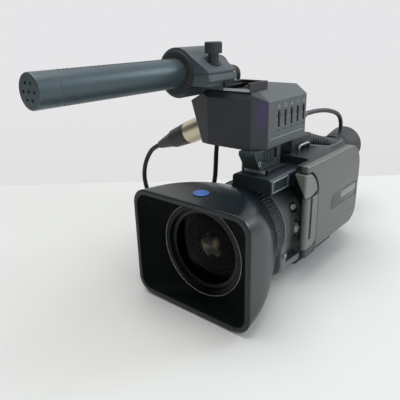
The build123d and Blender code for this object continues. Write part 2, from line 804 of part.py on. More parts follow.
def panel_outline():
    """Draw the screen panel's side view, cut round the column and the fixed block."""
    with BuildLine() as outline:
        Polyline(
            (tongue_front_y, panel_top_z),
            (tongue_front_y, column_high_z + 0.6),
            (panel_front_y, column_high_z + 0.6),
            (panel_front_y, panel_bottom_z),
            (panel_rear_y - panel_bottom_r, panel_bottom_z),
        )
        RadiusArc((panel_rear_y - panel_bottom_r, panel_bottom_z),
                  (panel_rear_y, panel_bottom_z + panel_bottom_r), -panel_bottom_r)
        Line((panel_rear_y, panel_bottom_z + panel_bottom_r), (panel_rear_y, panel_top_z - panel_top_r))
        RadiusArc((panel_rear_y, panel_top_z - panel_top_r),
                  (panel_rear_y - panel_top_r, panel_top_z), -panel_top_r)
        Line((panel_rear_y - panel_top_r, panel_top_z), (tongue_front_y, panel_top_z))
    make_face(outline.edges())


shell_split_x = panel_in_x + 4.2
panel_mid_y = (panel_front_y + panel_rear_y) / 2
panel_mid_z = (panel_bottom_z + panel_top_z) / 2
with BuildPart() as lcd_cover:
    with BuildSketch(side_plane(shell_split_x)):
        panel_outline()
    extrude(amount=panel_out_x - shell_split_x)
    fillet(lcd_cover.faces().sort_by(Axis.X)[-1].edges(), 1.6)
    with BuildSketch(side_plane(shell_split_x - 1)):
        hinge_block_outline()
        offset(amount=hinge_gap, kind=Kind.INTERSECTION)
    extrude(amount=panel_thick, mode=Mode.SUBTRACT)
    # lower field of the outer face, set back behind a seam
    with BuildSketch(side_plane(panel_out_x - 0.5)):
        with BuildLine():
            Polyline(
                (panel_rear_y + 1, field_top_z),
                (field_front_y + 4, field_top_z),
                (field_front_y + 1, field_top_z - 4.5),
                (field_front_y, field_top_z - 12.5),
                (field_front_y + 13, field_top_z - 22.5),
                (panel_rear_y + 1, field_top_z - 28.5),
                close=True,
            )
        make_face()
    extrude(amount=2, mode=Mode.SUBTRACT)
    rod((panel_in_x + panel_thick / 2, panel_front_y - 1, tilt_z), (0, 1, 0), 2.8 + pin_gap, 4, Mode.SUBTRACT)
save(lcd_cover, "lcd_cover")

with BuildPart() as lcd_bezel:
    with BuildSketch(side_plane(panel_in_x)):
        panel_outline()
    extrude(amount=shell_split_x - panel_in_x)
    with BuildSketch(side_plane(panel_in_x - 1)):
        hinge_block_outline()
        offset(amount=hinge_gap, kind=Kind.INTERSECTION)
    extrude(amount=panel_thick, mode=Mode.SUBTRACT)
    with BuildSketch(side_plane(panel_in_x)):
        with Locations((panel_mid_y, panel_mid_z)):
            RectangleRounded(screen_w + 2 * seat_gap, screen_h + 2 * seat_gap, 2)
    extrude(amount=2.0, mode=Mode.SUBTRACT)
    rod((panel_in_x + panel_thick / 2, panel_front_y - 1, tilt_z), (0, 1, 0), 2.8 + pin_gap, 4, Mode.SUBTRACT)
save(lcd_bezel, "lcd_bezel")

with BuildPart() as lcd_screen:
    with BuildSketch(side_plane(panel_in_x + 0.4)):
        with Locations((panel_mid_y, panel_mid_z)):
            RectangleRounded(screen_w, screen_h, 1.8)
    extrude(amount=1.5)
save(lcd_screen, "lcd_screen")

# ---------------------------------------------------------------- viewfinder
finder_left_x = finder_x - finder_half
finder_right_x = finder_x + finder_half
finder_neck_y = finder_rear_y + 6
with BuildPart() as viewfinder_tube:
    with BuildSketch(side_plane(finder_left_x)):
        with Locations((finder_pivot_y, finder_z)):
            Circle(finder_half)
        with Locations(((finder_pivot_y + finder_rear_y) / 2, finder_z)):
            Rectangle(finder_rear_y - finder_pivot_y, 2 * finder_half)
    extrude(amount=2 * finder_half)
    long_edges = viewfinder_tube.edges().filter_by(Axis.Y)
    fillet(long_edges, 4.0)
    rod((finder_x, finder_rear_y, finder_z), (0, 1, 0), finder_half - 0.5, 6)
    rod((finder_x, finder_pivot_y + 25, finder_z), (0, 1, 0), eyepiece_r - 3, finder_neck_y, Mode.SUBTRACT)
    rod((finder_left_x - 1, finder_pivot_y, finder_z), (1, 0, 0), finder_pin_r + pin_gap, 7, Mode.SUBTRACT)
    rod((finder_right_x - 6, finder_pivot_y, finder_z), (1, 0, 0), finder_pin_r + pin_gap, 7, Mode.SUBTRACT)
    rod((finder_right_x - 2, finder_rear_y - 12, finder_z), (1, 0, 0), 1.5 + pin_gap, 4, Mode.SUBTRACT)
save(viewfinder_tube, "viewfinder_tube")

with BuildPart() as viewfinder_pins:
    rod((finder_left_x - 7.5, finder_pivot_y, finder_z), (1, 0, 0), finder_pin_r, 13)
    rod((finder_right_x - 5.5, finder_pivot_y, finder_z), (1, 0, 0), finder_pin_r, 13)
save(viewfinder_pins, "viewfinder_pins")

with BuildPart() as diopter_lever:
    rod((finder_right_x - 1.5, finder_rear_y - 12, finder_z), (1, 0, 0), 1.5, 3)
    rod((finder_right_x + 0.3, finder_rear_y - 12, finder_z), (1, 0, 0), 4.0, 1.6)
    box_between((finder_right_x + 0.3, finder_right_x + 2.4), (finder_rear_y - 13.2, finder_rear_y - 10.8),
                (finder_z, finder_z + 7.5))
save(diopter_lever, "diopter_lever")

eyepiece_axis = Axis((finder_x, 0, finder_z), (0, 1, 0))
with BuildPart() as eyepiece_lens:
    with BuildSketch(side_plane(finder_x)):
        with BuildLine():
            Polyline(
                (finder_neck_y - 2, finder_z),
                (finder_neck_y - 4, finder_z + eyepiece_r - 3.2),
                (finder_neck_y - 8, finder_z + eyepiece_r - 3.2),
                (finder_neck_y - 8, finder_z),
                close=True,
            )
        make_face()
    revolve(axis=eyepiece_axis)
save(eyepiece_lens, "eyepiece_lens")

with BuildPart() as eyecup:
    with BuildSketch(side_plane(finder_x)):
        cup_in_r = finder_half - 0.5 + soft_gap
        with BuildLine():
            Polyline(
                (finder_rear_y + soft_gap, finder_z + cup_in_r),
                (finder_rear_y + soft_gap, finder_z + cup_in_r + 2.0),
                (finder_neck_y + 4, finder_z + cup_in_r + 2.2),
                (finder_neck_y + 16, finder_z + eyecup_r - 3.0),
                (eyecup_rear_y - 2, finder_z + eyecup_r),
                (eyecup_rear_y, finder_z + eyecup_r - 0.8),
                (eyecup_rear_y - 1.5, finder_z + eyecup_r - 2.4),
                (finder_neck_y + 17, finder_z + eyecup_r - 5.2),
                (finder_neck_y + 5, finder_z + cup_in_r - 0.4),
                (finder_neck_y + soft_gap, finder_z + cup_in_r - 3.0),
                (finder_neck_y + soft_gap, finder_z + cup_in_r),
                close=True,
            )
        make_face()
    revolve(axis=eyepiece_axis)
save(eyecup, "eyecup")

# ---------------------------------------------------------------- battery and rear controls
with BuildPart() as battery:
    box_between((battery_left_x, battery_left_x + battery_w),
                (battery_plate_y + seat_gap, battery_plate_y + seat_gap + battery_d),
                (battery_z, battery_z + battery_h))
    fillet(battery.edges().filter_by(Axis.Y).group_by(Axis.X)[-1].sort_by(Axis.Z)[0], 8.0)
    fillet(battery.edges().filter_by(Axis.Y).group_by(Axis.X)[-1].sort_by(Axis.Z)[-1], 4.0)
    fillet(battery.faces().sort_by(Axis.Y)[-1].edges(), 1.5)
save(battery, "battery")

with BuildPart() as battery_latch:
    latch_low_z = latch_z + 5.5 - seat_gap - 8
    box_between((latch_x - 4.3, latch_x + 4.3), (body_rear_y - 3.0, body_rear_y + 0.4),
                (latch_low_z, latch_low_z + 8))
    box_between((latch_x - 3.2, latch_x + 3.2), (body_rear_y + 0.2, body_rear_y + 2.2),
                (latch_low_z + 4.5, latch_low_z + 6.5))
save(battery_latch, "battery_latch")

with BuildPart() as mode_dial:
    rod((dial_x, body_rear_y - 3.8, dial_z), (0, 1, 0), dial_r, dial_h + 1)
    fillet(mode_dial.faces().sort_by(Axis.Y)[-1].edges(), 0.8)
    rod((dial_x, body_rear_y - 5, dial_z), (0, 1, 0), start_r + move_gap, dial_h + 6, Mode.SUBTRACT)
    with BuildSketch(front_plane(body_rear_y + 0.4)):
        with Locations((dial_x, dial_z)):
            with PolarLocations(dial_r, 24):
                Rectangle(1.0, 1.1)
    extrude(amount=-4, mode=Mode.SUBTRACT)
save(mode_dial, "mode_dial")

with BuildPart() as start_button:
    rod((dial_x, body_rear_y - 9 + press + seat_gap, dial_z), (0, 1, 0), start_r, 9)
    fillet(start_button.faces().sort_by(Axis.Y)[-1].edges(), 1.0)
save(start_button, "start_button")

with BuildPart() as zoom_rocker:
    with BuildSketch(side_plane(rocker_x - rocker_w / 2)):
        with BuildLine():
            half = rocker_len / 2
            Polyline(
                (rocker_y - half, body_top_z - 3.4),
                (rocker_y - half, body_top_z + 1.8),
                (rocker_y - half + 1.5, body_top_z + 2.2),
            )
            ThreePointArc((rocker_y - half + 1.5, body_top_z + 2.2), (rocker_y, body_top_z + 0.6),
                          (rocker_y + half - 1.5, body_top_z + 2.2))
            Polyline(
                (rocker_y + half - 1.5, body_top_z + 2.2),
                (rocker_y + half, body_top_z + 1.8),
                (rocker_y + half, body_top_z - 3.4),
                (rocker_y - half, body_top_z - 3.4),
            )
        make_face()
    extrude(amount=rocker_w)
    rod((rocker_x - rocker_w / 2 - 1.5, rocker_y, rocker_pivot_z), (1, 0, 0), 1.2, rocker_w + 3)
save(zoom_rocker, "zoom_rocker")

# ---------------------------------------------------------------- cassette side
with BuildPart() as cassette_lid:
    lid_len = lid_rear_y - lid_front_y
    with BuildSketch(side_plane(lid_x)):
        with Locations(((lid_front_y + lid_rear_y) / 2, (lid_bottom_z + lid_hinge_z) / 2)):
            Rectangle(lid_len, lid_hinge_z - lid_bottom_z)
    extrude(amount=body_inner_x - 0.3 - lid_x)
    fillet(cassette_lid.edges().filter_by(Axis.X).group_by(Axis.Z)[0], lid_corner_r)
    outer = cassette_lid.faces().sort_by(Axis.X)[0].edges().sort_by(Axis.Z)
    fillet(outer[:-1], 2.0)
    box_between((lid_x + lid_wall, body_inner_x + 1), (lid_front_y + lid_wall, lid_rear_y - lid_wall),
                (lid_bottom_z + lid_wall, lid_hinge_z + 1), Mode.SUBTRACT)
    rod((lid_axis_x, lid_front_y, lid_hinge_z), (0, 1, 0), lid_bead_r, lid_len)
    rod((lid_axis_x, lid_front_y - 1, lid_hinge_z), (0, 1, 0), lid_pin_r + pin_gap, lid_len + 2, Mode.SUBTRACT)
    lug_x_bar = lid_x - lug_reach
    strap_front_y = lid_front_y + 8
    strap_rear_y = lid_rear_y - 8
    lug_half = strap_w / 2 + 2
    for y in (strap_front_y, strap_rear_y):
        for z in (strap_z - lug_half, strap_z + lug_half):
            rod((lid_x - 1, y, z), (1, 0, 0), lug_r + 0.0, 2.7, Mode.SUBTRACT)
save(cassette_lid, "cassette_lid")

with BuildPart() as lid_pin:
    rod((lid_axis_x, barrel_rear_y, lid_hinge_z), (0, 1, 0), lid_pin_r, body_rear_y - barrel_rear_y)
save(lid_pin, "lid_pin")

with BuildPart() as strap_lugs:
    for y in (strap_front_y, strap_rear_y):
        rod((lug_x_bar, y, strap_z - lug_half - lug_r), (0, 0, 1), lug_r, 2 * (lug_half + lug_r))
        for z in (strap_z - lug_half, strap_z + lug_half):
            rod((lug_x_bar, y, z), (1, 0, 0), lug_r, lug_reach + 1.6)
save(strap_lugs, "strap_lugs")

loop_in_r = lug_r + soft_gap
loop_mid_r = loop_in_r + strap_thick / 2
strap_half = (strap_rear_y - strap_front_y) / 2
strap_mid_y = (strap_rear_y + strap_front_y) / 2
strap_start_x = lug_x_bar - loop_mid_r
strap_sag = strap_bulge - loop_mid_r
strap_arc_r = (strap_half ** 2 + strap_sag ** 2) / (2 * strap_sag)
strap_centre_x = strap_start_x - strap_sag + strap_arc_r
strap_angle = degrees(atan2(strap_half, strap_arc_r - strap_sag))
with BuildPart() as hand_strap:
    with BuildSketch(top_plane(strap_z - strap_w / 2)):
        with BuildLine():
            outer_arc = CenterArc((strap_centre_x, strap_mid_y), strap_arc_r + strap_thick / 2,
                                  180 - strap_angle, 2 * strap_angle)
            inner_arc = CenterArc((strap_centre_x, strap_mid_y), strap_arc_r - strap_thick / 2,
                                  180 - strap_angle, 2 * strap_angle)
            Line(outer_arc @ 0, inner_arc @ 0)
            Line(outer_arc @ 1, inner_arc @ 1)
        make_face()
        with Locations((lug_x_bar, strap_front_y), (lug_x_bar, strap_rear_y)):
            Circle(loop_in_r + strap_thick)
        with Locations((lug_x_bar, strap_front_y), (lug_x_bar, strap_rear_y)):
            Circle(loop_in_r, mode=Mode.SUBTRACT)
    extrude(amount=strap_w)
save(hand_strap, "hand_strap")

carriage_back_x = body_inner_x - 3.2
carriage_front_x = carriage_back_x - carriage_wall - cassette_t - 0.4
carriage_top_z = lid_hinge_z - lid_bead_r - 0.5
carriage_low_z = lid_bottom_z + lid_wall + 0.8
carriage_mid_y = (lid_front_y + lid_rear_y) / 2 - 1
carriage_half = cassette_w / 2 + carriage_wall + 0.4
with BuildPart() as cassette_carriage:
    box_between((carriage_front_x - carriage_wall, carriage_back_x),
                (carriage_mid_y - carriage_half, carriage_mid_y + carriage_half),
                (carriage_low_z, carriage_top_z))
    box_between((carriage_front_x, carriage_back_x - carriage_wall),
                (carriage_mid_y - carriage_half + carriage_wall, carriage_mid_y + carriage_half - carriage_wall),
                (carriage_low_z - 1, carriage_top_z - carriage_wall), Mode.SUBTRACT)
    window_y = (carriage_mid_y - 22, carriage_mid_y + 22)
    box_between((carriage_front_x - 5, carriage_front_x + 1), window_y,
                (carriage_low_z + 10, carriage_top_z - 10), Mode.SUBTRACT)
    for y in (carriage_mid_y - 24, carriage_mid_y + 24):
        box_between((carriage_back_x - 0.2, body_inner_x), (y - 4, y + 4),
                    (carriage_low_z + 6, carriage_top_z - 6))
save(cassette_carriage, "cassette_carriage")

with BuildPart() as top_lug:
    with BuildLine() as lug_path:
        FilletPolyline(
            (lug_x, lug_front_y, body_top_z - 3.8),
            (lug_x, lug_front_y, body_top_z + 5.0),
            (lug_x, lug_rear_y, body_top_z + 5.0),
            (lug_x, lug_rear_y, body_top_z - 3.8),
            radius=3.5,
        )
    with BuildSketch(Plane(origin=(lug_x, lug_front_y, body_top_z - 3.8), z_dir=(0, 0, 1))):
        Circle(lug_r)
    sweep(path=lug_path.line)
save(top_lug, "top_lug")

# ---------------------------------------------------------------- audio adaptor
cover_rear_y = adaptor_front_y + adaptor_cover_depth
side_seam_x = adaptor_right_x - adaptor_bevel_w
left_low_x = adaptor_left_x + adaptor_left_slope
face_len = hypot(adaptor_left_slope, adaptor_top_z - adaptor_left_drop - adaptor_bottom_z)
face_out = (-(adaptor_top_z - adaptor_left_drop - adaptor_bottom_z) / face_len, 0, -adaptor_left_slope / face_len)
socket_z = 120.5
socket_x = adaptor_left_x + adaptor_left_slope * (adaptor_top_z - adaptor_left_drop - socket_z) / (
    adaptor_top_z - adaptor_left_drop - adaptor_bottom_z)
socket_ys = (xlr_y, xlr_y + xlr_pitch)


def along_socket(y, distance):
    """A point on the axis of a microphone socket, that far out of the face."""
    return (socket_x + face_out[0] * distance, y, socket_z + face_out[2] * distance)


with BuildPart() as envelope:
    with BuildSketch(front_plane(adaptor_front_y)):
        with BuildLine():
            Polyline(
                (adaptor_right_x, adaptor_bottom_z),
                (adaptor_right_x, adaptor_top_z - adaptor_bevel_h),
                (side_seam_x, adaptor_top_z),
                (adaptor_seam_left_x, adaptor_top_z),
                (adaptor_left_x, adaptor_top_z - adaptor_left_drop),
                (left_low_x, adaptor_bottom_z),
                close=True,
            )
        make_face()
    extrude(amount=-(adaptor_rear_y - adaptor_front_y))
    with BuildSketch(top_plane(adaptor_bottom_z - 5)):
        with BuildLine():
            Polyline(
                (adaptor_left_x - 5, adaptor_front_y + 7.4),
                (adaptor_seam_left_x, adaptor_front_y),
                (adaptor_seam_right_x, adaptor_front_y),
                (adaptor_right_x, adaptor_front_y + adaptor_chamfer_y),
                (adaptor_right_x + 5, adaptor_front_y + adaptor_chamfer_y),
                (adaptor_right_x + 5, adaptor_rear_y),
                (adaptor_left_x - 5, adaptor_rear_y),
                close=True,
            )
        make_face()
    extrude(amount=adaptor_top_z - adaptor_bottom_z + 20, mode=Mode.INTERSECT)
    front_top = envelope.edges().filter_by(
        lambda e: e.center().Z > adaptor_top_z - 0.1 and e.center().Y < adaptor_front_y + 1)
    chamfer(front_top, 5.0, 3.0)

with BuildPart() as adaptor_front:
    add(envelope.part)
    box_between((adaptor_left_x - 10, adaptor_right_x + 10), (cover_rear_y - seat_gap / 2, adaptor_rear_y + 10),
                (adaptor_bottom_z - 10, adaptor_top_z + 10), Mode.SUBTRACT)
    for y in socket_ys:
        rod(along_socket(y, -15), face_out, xlr_socket_r + seat_gap, 30, Mode.SUBTRACT)
save(adaptor_front, "adaptor_front")

slot_ys = [switch_first_y + switch_pitch * i for i in range(switch_count)]
gland_y = adaptor_rear_y + 8.0
gland_x = 12.0
gland_z = 124.5
with BuildPart() as adaptor_side:
    add(envelope.part)
    box_between((adaptor_left_x - 10, side_seam_x + seat_gap / 2), (adaptor_front_y - 10, adaptor_rear_y + 10),
                (adaptor_bottom_z - 10, adaptor_top_z + 10), Mode.SUBTRACT)
    box_between((adaptor_left_x - 10, adaptor_right_x + 10), (adaptor_front_y - 10, cover_rear_y + seat_gap / 2),
                (adaptor_bottom_z - 10, adaptor_top_z + 10), Mode.SUBTRACT)
    for y in slot_ys:
        box_between((adaptor_right_x - switch_depth, adaptor_right_x + 2),
                    (y - switch_slot_w / 2, y + switch_slot_w / 2),
                    (switch_z - switch_slot_h / 2, switch_z + switch_slot_h / 2), Mode.SUBTRACT)
    rod((gland_x, adaptor_rear_y - 1, gland_z), (0, 1, 0), 3.6, 5)
    rod((gland_x, adaptor_rear_y + 3.5, gland_z), (0, 1, 0), 3.0, gland_y - adaptor_rear_y - 3.5)
save(adaptor_side, "adaptor_side")

with BuildPart() as adaptor_rear:
    add(envelope.part)
    box_between((side_seam_x - seat_gap / 2, adaptor_right_x + 10), (adaptor_front_y - 10, adaptor_rear_y + 10),
                (adaptor_bottom_z - 10, adaptor_top_z + 10), Mode.SUBTRACT)
    box_between((adaptor_left_x - 10, adaptor_right_x + 10), (adaptor_front_y - 10, cover_rear_y + seat_gap / 2),
                (adaptor_bottom_z - 10, adaptor_top_z + 10), Mode.SUBTRACT)
    for y in socket_ys:
        rod(along_socket(y, -15), face_out, xlr_socket_r + seat_gap, 30, Mode.SUBTRACT)
save(adaptor_rear, "adaptor_rear")

slider_h = 4.4
for number, y in enumerate(slot_ys):
    with BuildPart() as switch:
        slider_z = switch_z + switch_slot_h / 2 - seat_gap - slider_h / 2
        slider_half = switch_slot_w / 2 - 0.15
        box_between((adaptor_right_x - switch_depth + 0.15, adaptor_right_x + 0.9),
                    (y - slider_half, y + slider_half), (slider_z - slider_h / 2, slider_z + slider_h / 2))
        fillet(switch.faces().sort_by(Axis.X)[-1].edges(), 0.4)
    save(switch, f"adaptor_switch_{number + 1}")

top_shoe_floor_z = adaptor_top_z + seat_gap
with BuildPart() as adaptor_shoe:
    with BuildSketch(front_plane(top_shoe_y)):
        with Locations((top_shoe_x, top_shoe_floor_z + top_shoe_h / 2)):
            Rectangle(shoe_inner_w + 2 * shoe_wall, top_shoe_h)
        with Locations((top_shoe_x, top_shoe_floor_z + 1 + top_shoe_h / 2)):
            Rectangle(shoe_inner_w, top_shoe_h, mode=Mode.SUBTRACT)
        lip_z = top_shoe_floor_z + 1 + shoe_channel_h + 0.2 + shoe_lip / 2
        lip_w = (shoe_inner_w - shoe_mouth_w) / 2
        for side in (-1, 1):
            with Locations((top_shoe_x + side * (shoe_inner_w - lip_w) / 2, lip_z)):
                Rectangle(lip_w, shoe_lip + 0.2)
    extrude(amount=-top_shoe_len)
    stop_y = top_shoe_y + top_shoe_len
    box_between((top_shoe_x - shoe_inner_w / 2, top_shoe_x + shoe_inner_w / 2), (stop_y - 2.5, stop_y),
                (top_shoe_floor_z, top_shoe_floor_z + top_shoe_h))
save(adaptor_shoe, "adaptor_shoe")

with BuildPart() as xlr_sockets:
    for y in socket_ys:
        rod(along_socket(y, -xlr_socket_sink), face_out, xlr_socket_r, xlr_socket_sink + xlr_socket_proud)
    for y in socket_ys:
        rod(along_socket(y, -9), face_out, xlr_r + 0.3, 12, Mode.SUBTRACT)
    for y in socket_ys:
        rod(along_socket(y, -9.5), face_out, 7.3, 6.5)
    for y in socket_ys:
        with BuildSketch(Plane(origin=along_socket(y, -3), x_dir=(0, 1, 0), z_dir=face_out)):
            with PolarLocations(3.6, 3):
                Circle(1.2)
        extrude(amount=-4, mode=Mode.SUBTRACT)
save(xlr_sockets, "xlr_sockets")

# ---------------------------------------------------------------- pedestal and lock wheel
foot_z = shoe_floor_z + shoe_base
foot_h = shoe_channel_h - 0.3
pedestal_low_z = shoe_top_z + seat_gap
pedestal_top_z = adaptor_bottom_z - seat_gap
with BuildPart() as pedestal:
    with BuildSketch(side_plane(shoe_x - pedestal_w / 2)):
        with BuildLine():
            Polyline(
                (pedestal_front_top_y + 2, pedestal_top_z),
                (pedestal_front_top_y + 1.4, pedestal_top_z - 2.5),
                (pedestal_front_y, pedestal_low_z),
                (pedestal_rear_y, pedestal_low_z),
                (pedestal_rear_y, pedestal_top_z),
                close=True,
            )
        make_face()
    extrude(amount=pedestal_w)
    box_between((shoe_x - shoe_mouth_w / 2 + 0.15, shoe_x + shoe_mouth_w / 2 - 0.15),
                (shoe_front_y + 2, shoe_front_y + shoe_len - 2), (foot_z, pedestal_low_z + 1))
    box_between((shoe_x - shoe_inner_w / 2 + 0.2, shoe_x + shoe_inner_w / 2 - 0.2),
                (shoe_front_y + 2, shoe_front_y + shoe_len - 2), (foot_z, foot_z + foot_h))
    slot_half_h = wheel_h / 2 + move_gap
    box_between((shoe_x - pedestal_w, shoe_x + pedestal_w),
                (wheel_y - wheel_r - 0.8, wheel_y + wheel_r + 0.8),
                (wheel_z - slot_half_h, wheel_z + slot_half_h), Mode.SUBTRACT)
    rod((shoe_x, wheel_y, wheel_z - slot_half_h - 0.5), (0, 0, 1), wheel_axle_r, 2 * slot_half_h + 1)
save(pedestal, "pedestal")

with BuildPart() as lock_wheel:
    rod((shoe_x, wheel_y, wheel_z - wheel_h / 2), (0, 0, 1), wheel_r, wheel_h)
    rod((shoe_x, wheel_y, wheel_z - wheel_h), (0, 0, 1), wheel_axle_r + pin_gap, 2 * wheel_h, Mode.SUBTRACT)
    with BuildSketch(top_plane(wheel_z - wheel_h / 2)):
        with Locations((shoe_x, wheel_y)):
            with PolarLocations(wheel_r, wheel_ribs):
                Rectangle(1.4, 1.1)
    extrude(amount=wheel_h, mode=Mode.SUBTRACT)
save(lock_wheel, "lock_wheel")

# ---------------------------------------------------------------- plug, boot and its cable
jack_rear_y = jack_y + jack_len
plug_low_z = body_top_z + 0.6
plug_top_z = body_top_z + jack_h
with BuildPart() as cable_plug:
    box_between((jack_x - 5.5, jack_x + 5.5), (jack_rear_y + seat_gap, jack_rear_y + plug_len),
                (plug_low_z, plug_top_z))
    fillet(cable_plug.edges().filter_by(Axis.Y), 1.6)
    fillet(cable_plug.faces().sort_by(Axis.Y)[-1].edges(), 1.2)
    box_between((jack_x - 2.8, jack_x + 2.8), (jack_rear_y - plug_nose, jack_rear_y + 1),
                (body_top_z + 3.6, body_top_z + 8.8))
save(cable_plug, "cable_plug")

boot_start = Vector(jack_x, jack_rear_y + plug_len, body_top_z + 5.6)
boot_dir = Vector(3.0, 33.0, -9.0).normalized()
boot_end = boot_start + boot_dir * boot_len
with BuildPart() as plug_boot:
    with BuildSketch(Plane(origin=boot_start, z_dir=boot_dir)):
        Circle(boot_r)
    with BuildSketch(Plane(origin=boot_end, z_dir=boot_dir)):
        Circle(boot_end_r)
    loft()
    for i in range(boot_ribs):
        at = 5 + i * (boot_len - 8) / boot_ribs
        here = boot_start + boot_dir * at
        core = boot_r + (boot_end_r - boot_r) * at / boot_len
        with BuildSketch(Plane(origin=here, z_dir=boot_dir)):
            Circle(core + 1)
            Circle(core - 0.9, mode=Mode.SUBTRACT)
        extrude(amount=1.3, mode=Mode.SUBTRACT)
    # trim the end that leans into the plug
    box_between((jack_x - 20, jack_x + 20), (jack_rear_y, jack_rear_y + plug_len),
                (body_top_z - 10, body_top_z + 30), Mode.SUBTRACT)
save(plug_boot, "plug_boot")

adaptor_cable_route = [
    (gland_x, gland_y, gland_z),
    (gland_x, 22.0, gland_z),
    (12.5, 38.5, 123.3),
    (13.0, 54.5, 120.6),
    (13.4, 69.0, 116.2),
    (13.8, 76.3, 110.3),
    (14.1, 78.3, 101.1),
    (14.4, 74.0, 92.7),
    (boot_end.X + boot_dir.X * 9.4, boot_end.Y + boot_dir.Y * 9.4, boot_end.Z + boot_dir.Z * 9.4),
    (boot_end.X, boot_end.Y, boot_end.Z),
]
print("adaptor cable route", [tuple(round(c, 2) for c in p) for p in adaptor_cable_route])
cord_part("adaptor_cable", adaptor_cable_route, cable_d)

# ---------------------------------------------------------------- microphone
mic_axis = Axis((mic_x, 0, mic_z), (0, 1, 0))
mic_body_y = mic_front_y + mic_cap_len
with BuildPart() as mic_tube:
    rod((mic_x, mic_body_y + 0.1, mic_z), (0, 1, 0), mic_r, mic_rear_y - mic_body_y - 0.1)
    slot_pitch = 4.6
    with BuildSketch(top_plane(mic_z + mic_r - 1.0)):
        for i in range(mic_slots):
            with Locations((mic_x, mic_body_y + 7 + i * slot_pitch)):
                Rectangle(6.5, 1.5)
    extrude(amount=2, mode=Mode.SUBTRACT)
    with BuildSketch(top_plane(mic_z - mic_r - 1.0)):
        for i in range(mic_slots):
            with Locations((mic_x, mic_body_y + 7 + i * slot_pitch)):
                Rectangle(6.5, 1.5)
    extrude(amount=2, mode=Mode.SUBTRACT)
save(mic_tube, "mic_tube")

with BuildPart() as mic_cap:
    rod((mic_x, mic_front_y, mic_z), (0, 1, 0), mic_r, mic_cap_len)
    fillet(mic_cap.faces().sort_by(Axis.Y)[0].edges(), 1.0)
    with BuildSketch(front_plane(mic_front_y)):
        with Locations((mic_x, mic_z)):
            Circle(mic_cap_hole_r)
            with PolarLocations(5.4, 6):
                Circle(mic_cap_hole_r)
    extrude(amount=-6, mode=Mode.SUBTRACT)
save(mic_cap, "mic_cap")

with BuildPart() as mic_gland:
    with BuildSketch(side_plane(mic_x)):
        with BuildLine():
            Polyline(
                (mic_rear_y + 0.1, mic_z),
                (mic_rear_y + 0.1, mic_z + mic_r),
                (mic_rear_y + 3.0, mic_z + mic_r),
                (mic_rear_y + 4.5, mic_z + mic_r - 2.5),
                (mic_rear_y + 6.5, mic_z + gland_r + 1.4),
                (mic_rear_y + gland_len, mic_z + gland_r),
                (mic_rear_y + gland_len, mic_z),
                close=True,
            )
        make_face()
    revolve(axis=mic_axis)
save(mic_gland, "mic_gland")

holder_rear_y = holder_front_y + holder_len
holder_bore_r = rubber_r + seat_gap
hinge_x = mic_x - holder_r - holder_knuckle_r - 0.3
split_low_z = mic_z - holder_split / 2
split_high_z = mic_z + holder_split / 2
knuckle_ys = (holder_front_y, holder_front_y + 11, holder_rear_y - 11, holder_rear_y)
rail_left_x = top_shoe_x - shoe_inner_w / 2 - shoe_wall
with BuildPart() as holder_lower:
    with BuildSketch(front_plane(holder_front_y)):
        with Locations((mic_x, mic_z)):
            Circle(holder_r)
        with BuildLine():
            Polyline(
                (holder_right_x, mic_z),
                (holder_right_x + 1.0, adaptor_top_z + 7.6),
                (rail_left_x - 0.6, adaptor_top_z + 7.6),
                (rail_left_x - 0.6, adaptor_top_z + seat_gap),
                (adaptor_seam_left_x - 4, adaptor_top_z + seat_gap),
                (mic_x + 4, mic_z - holder_r + 1),
                (mic_x, mic_z),
                close=True,
            )
        make_face()
    extrude(amount=-holder_len)
    box_between((hinge_x, mic_x), (knuckle_ys[1] + 0.3, knuckle_ys[2] - 0.3), (mic_z - 4, mic_z))
    box_between((mic_x - 40, mic_x + 60), (holder_front_y - 1, holder_rear_y + 1),
                (split_low_z, mic_z + 40), Mode.SUBTRACT)
    rod((hinge_x, holder_front_y - 1, mic_z), (0, 1, 0), holder_knuckle_r + 0.4, 12.1, Mode.SUBTRACT)
    rod((hinge_x, knuckle_ys[2] - 0.1, mic_z), (0, 1, 0), holder_knuckle_r + 0.4, 12.1, Mode.SUBTRACT)
    rod((hinge_x, knuckle_ys[1] + 0.3, mic_z), (0, 1, 0), holder_knuckle_r,
        knuckle_ys[2] - knuckle_ys[1] - 0.6)
    rod((hinge_x, holder_front_y, mic_z), (0, 1, 0), holder_pin_r, holder_len)
    rod((mic_x, holder_front_y - 1, mic_z), (0, 1, 0), holder_bore_r, holder_len + 2, Mode.SUBTRACT)
    box_between((mic_x + 7, mic_x + 60), (holder_front_y - 1, adaptor_front_y + 2.5),
                (adaptor_top_z - 20, adaptor_top_z + 4), Mode.SUBTRACT)
    rod((clamp_x, clamp_y, split_low_z - clamp_tip - 1), (0, 0, 1), clamp_thread_r + 0.3, 10, Mode.SUBTRACT)
save(holder_lower, "holder_lower")

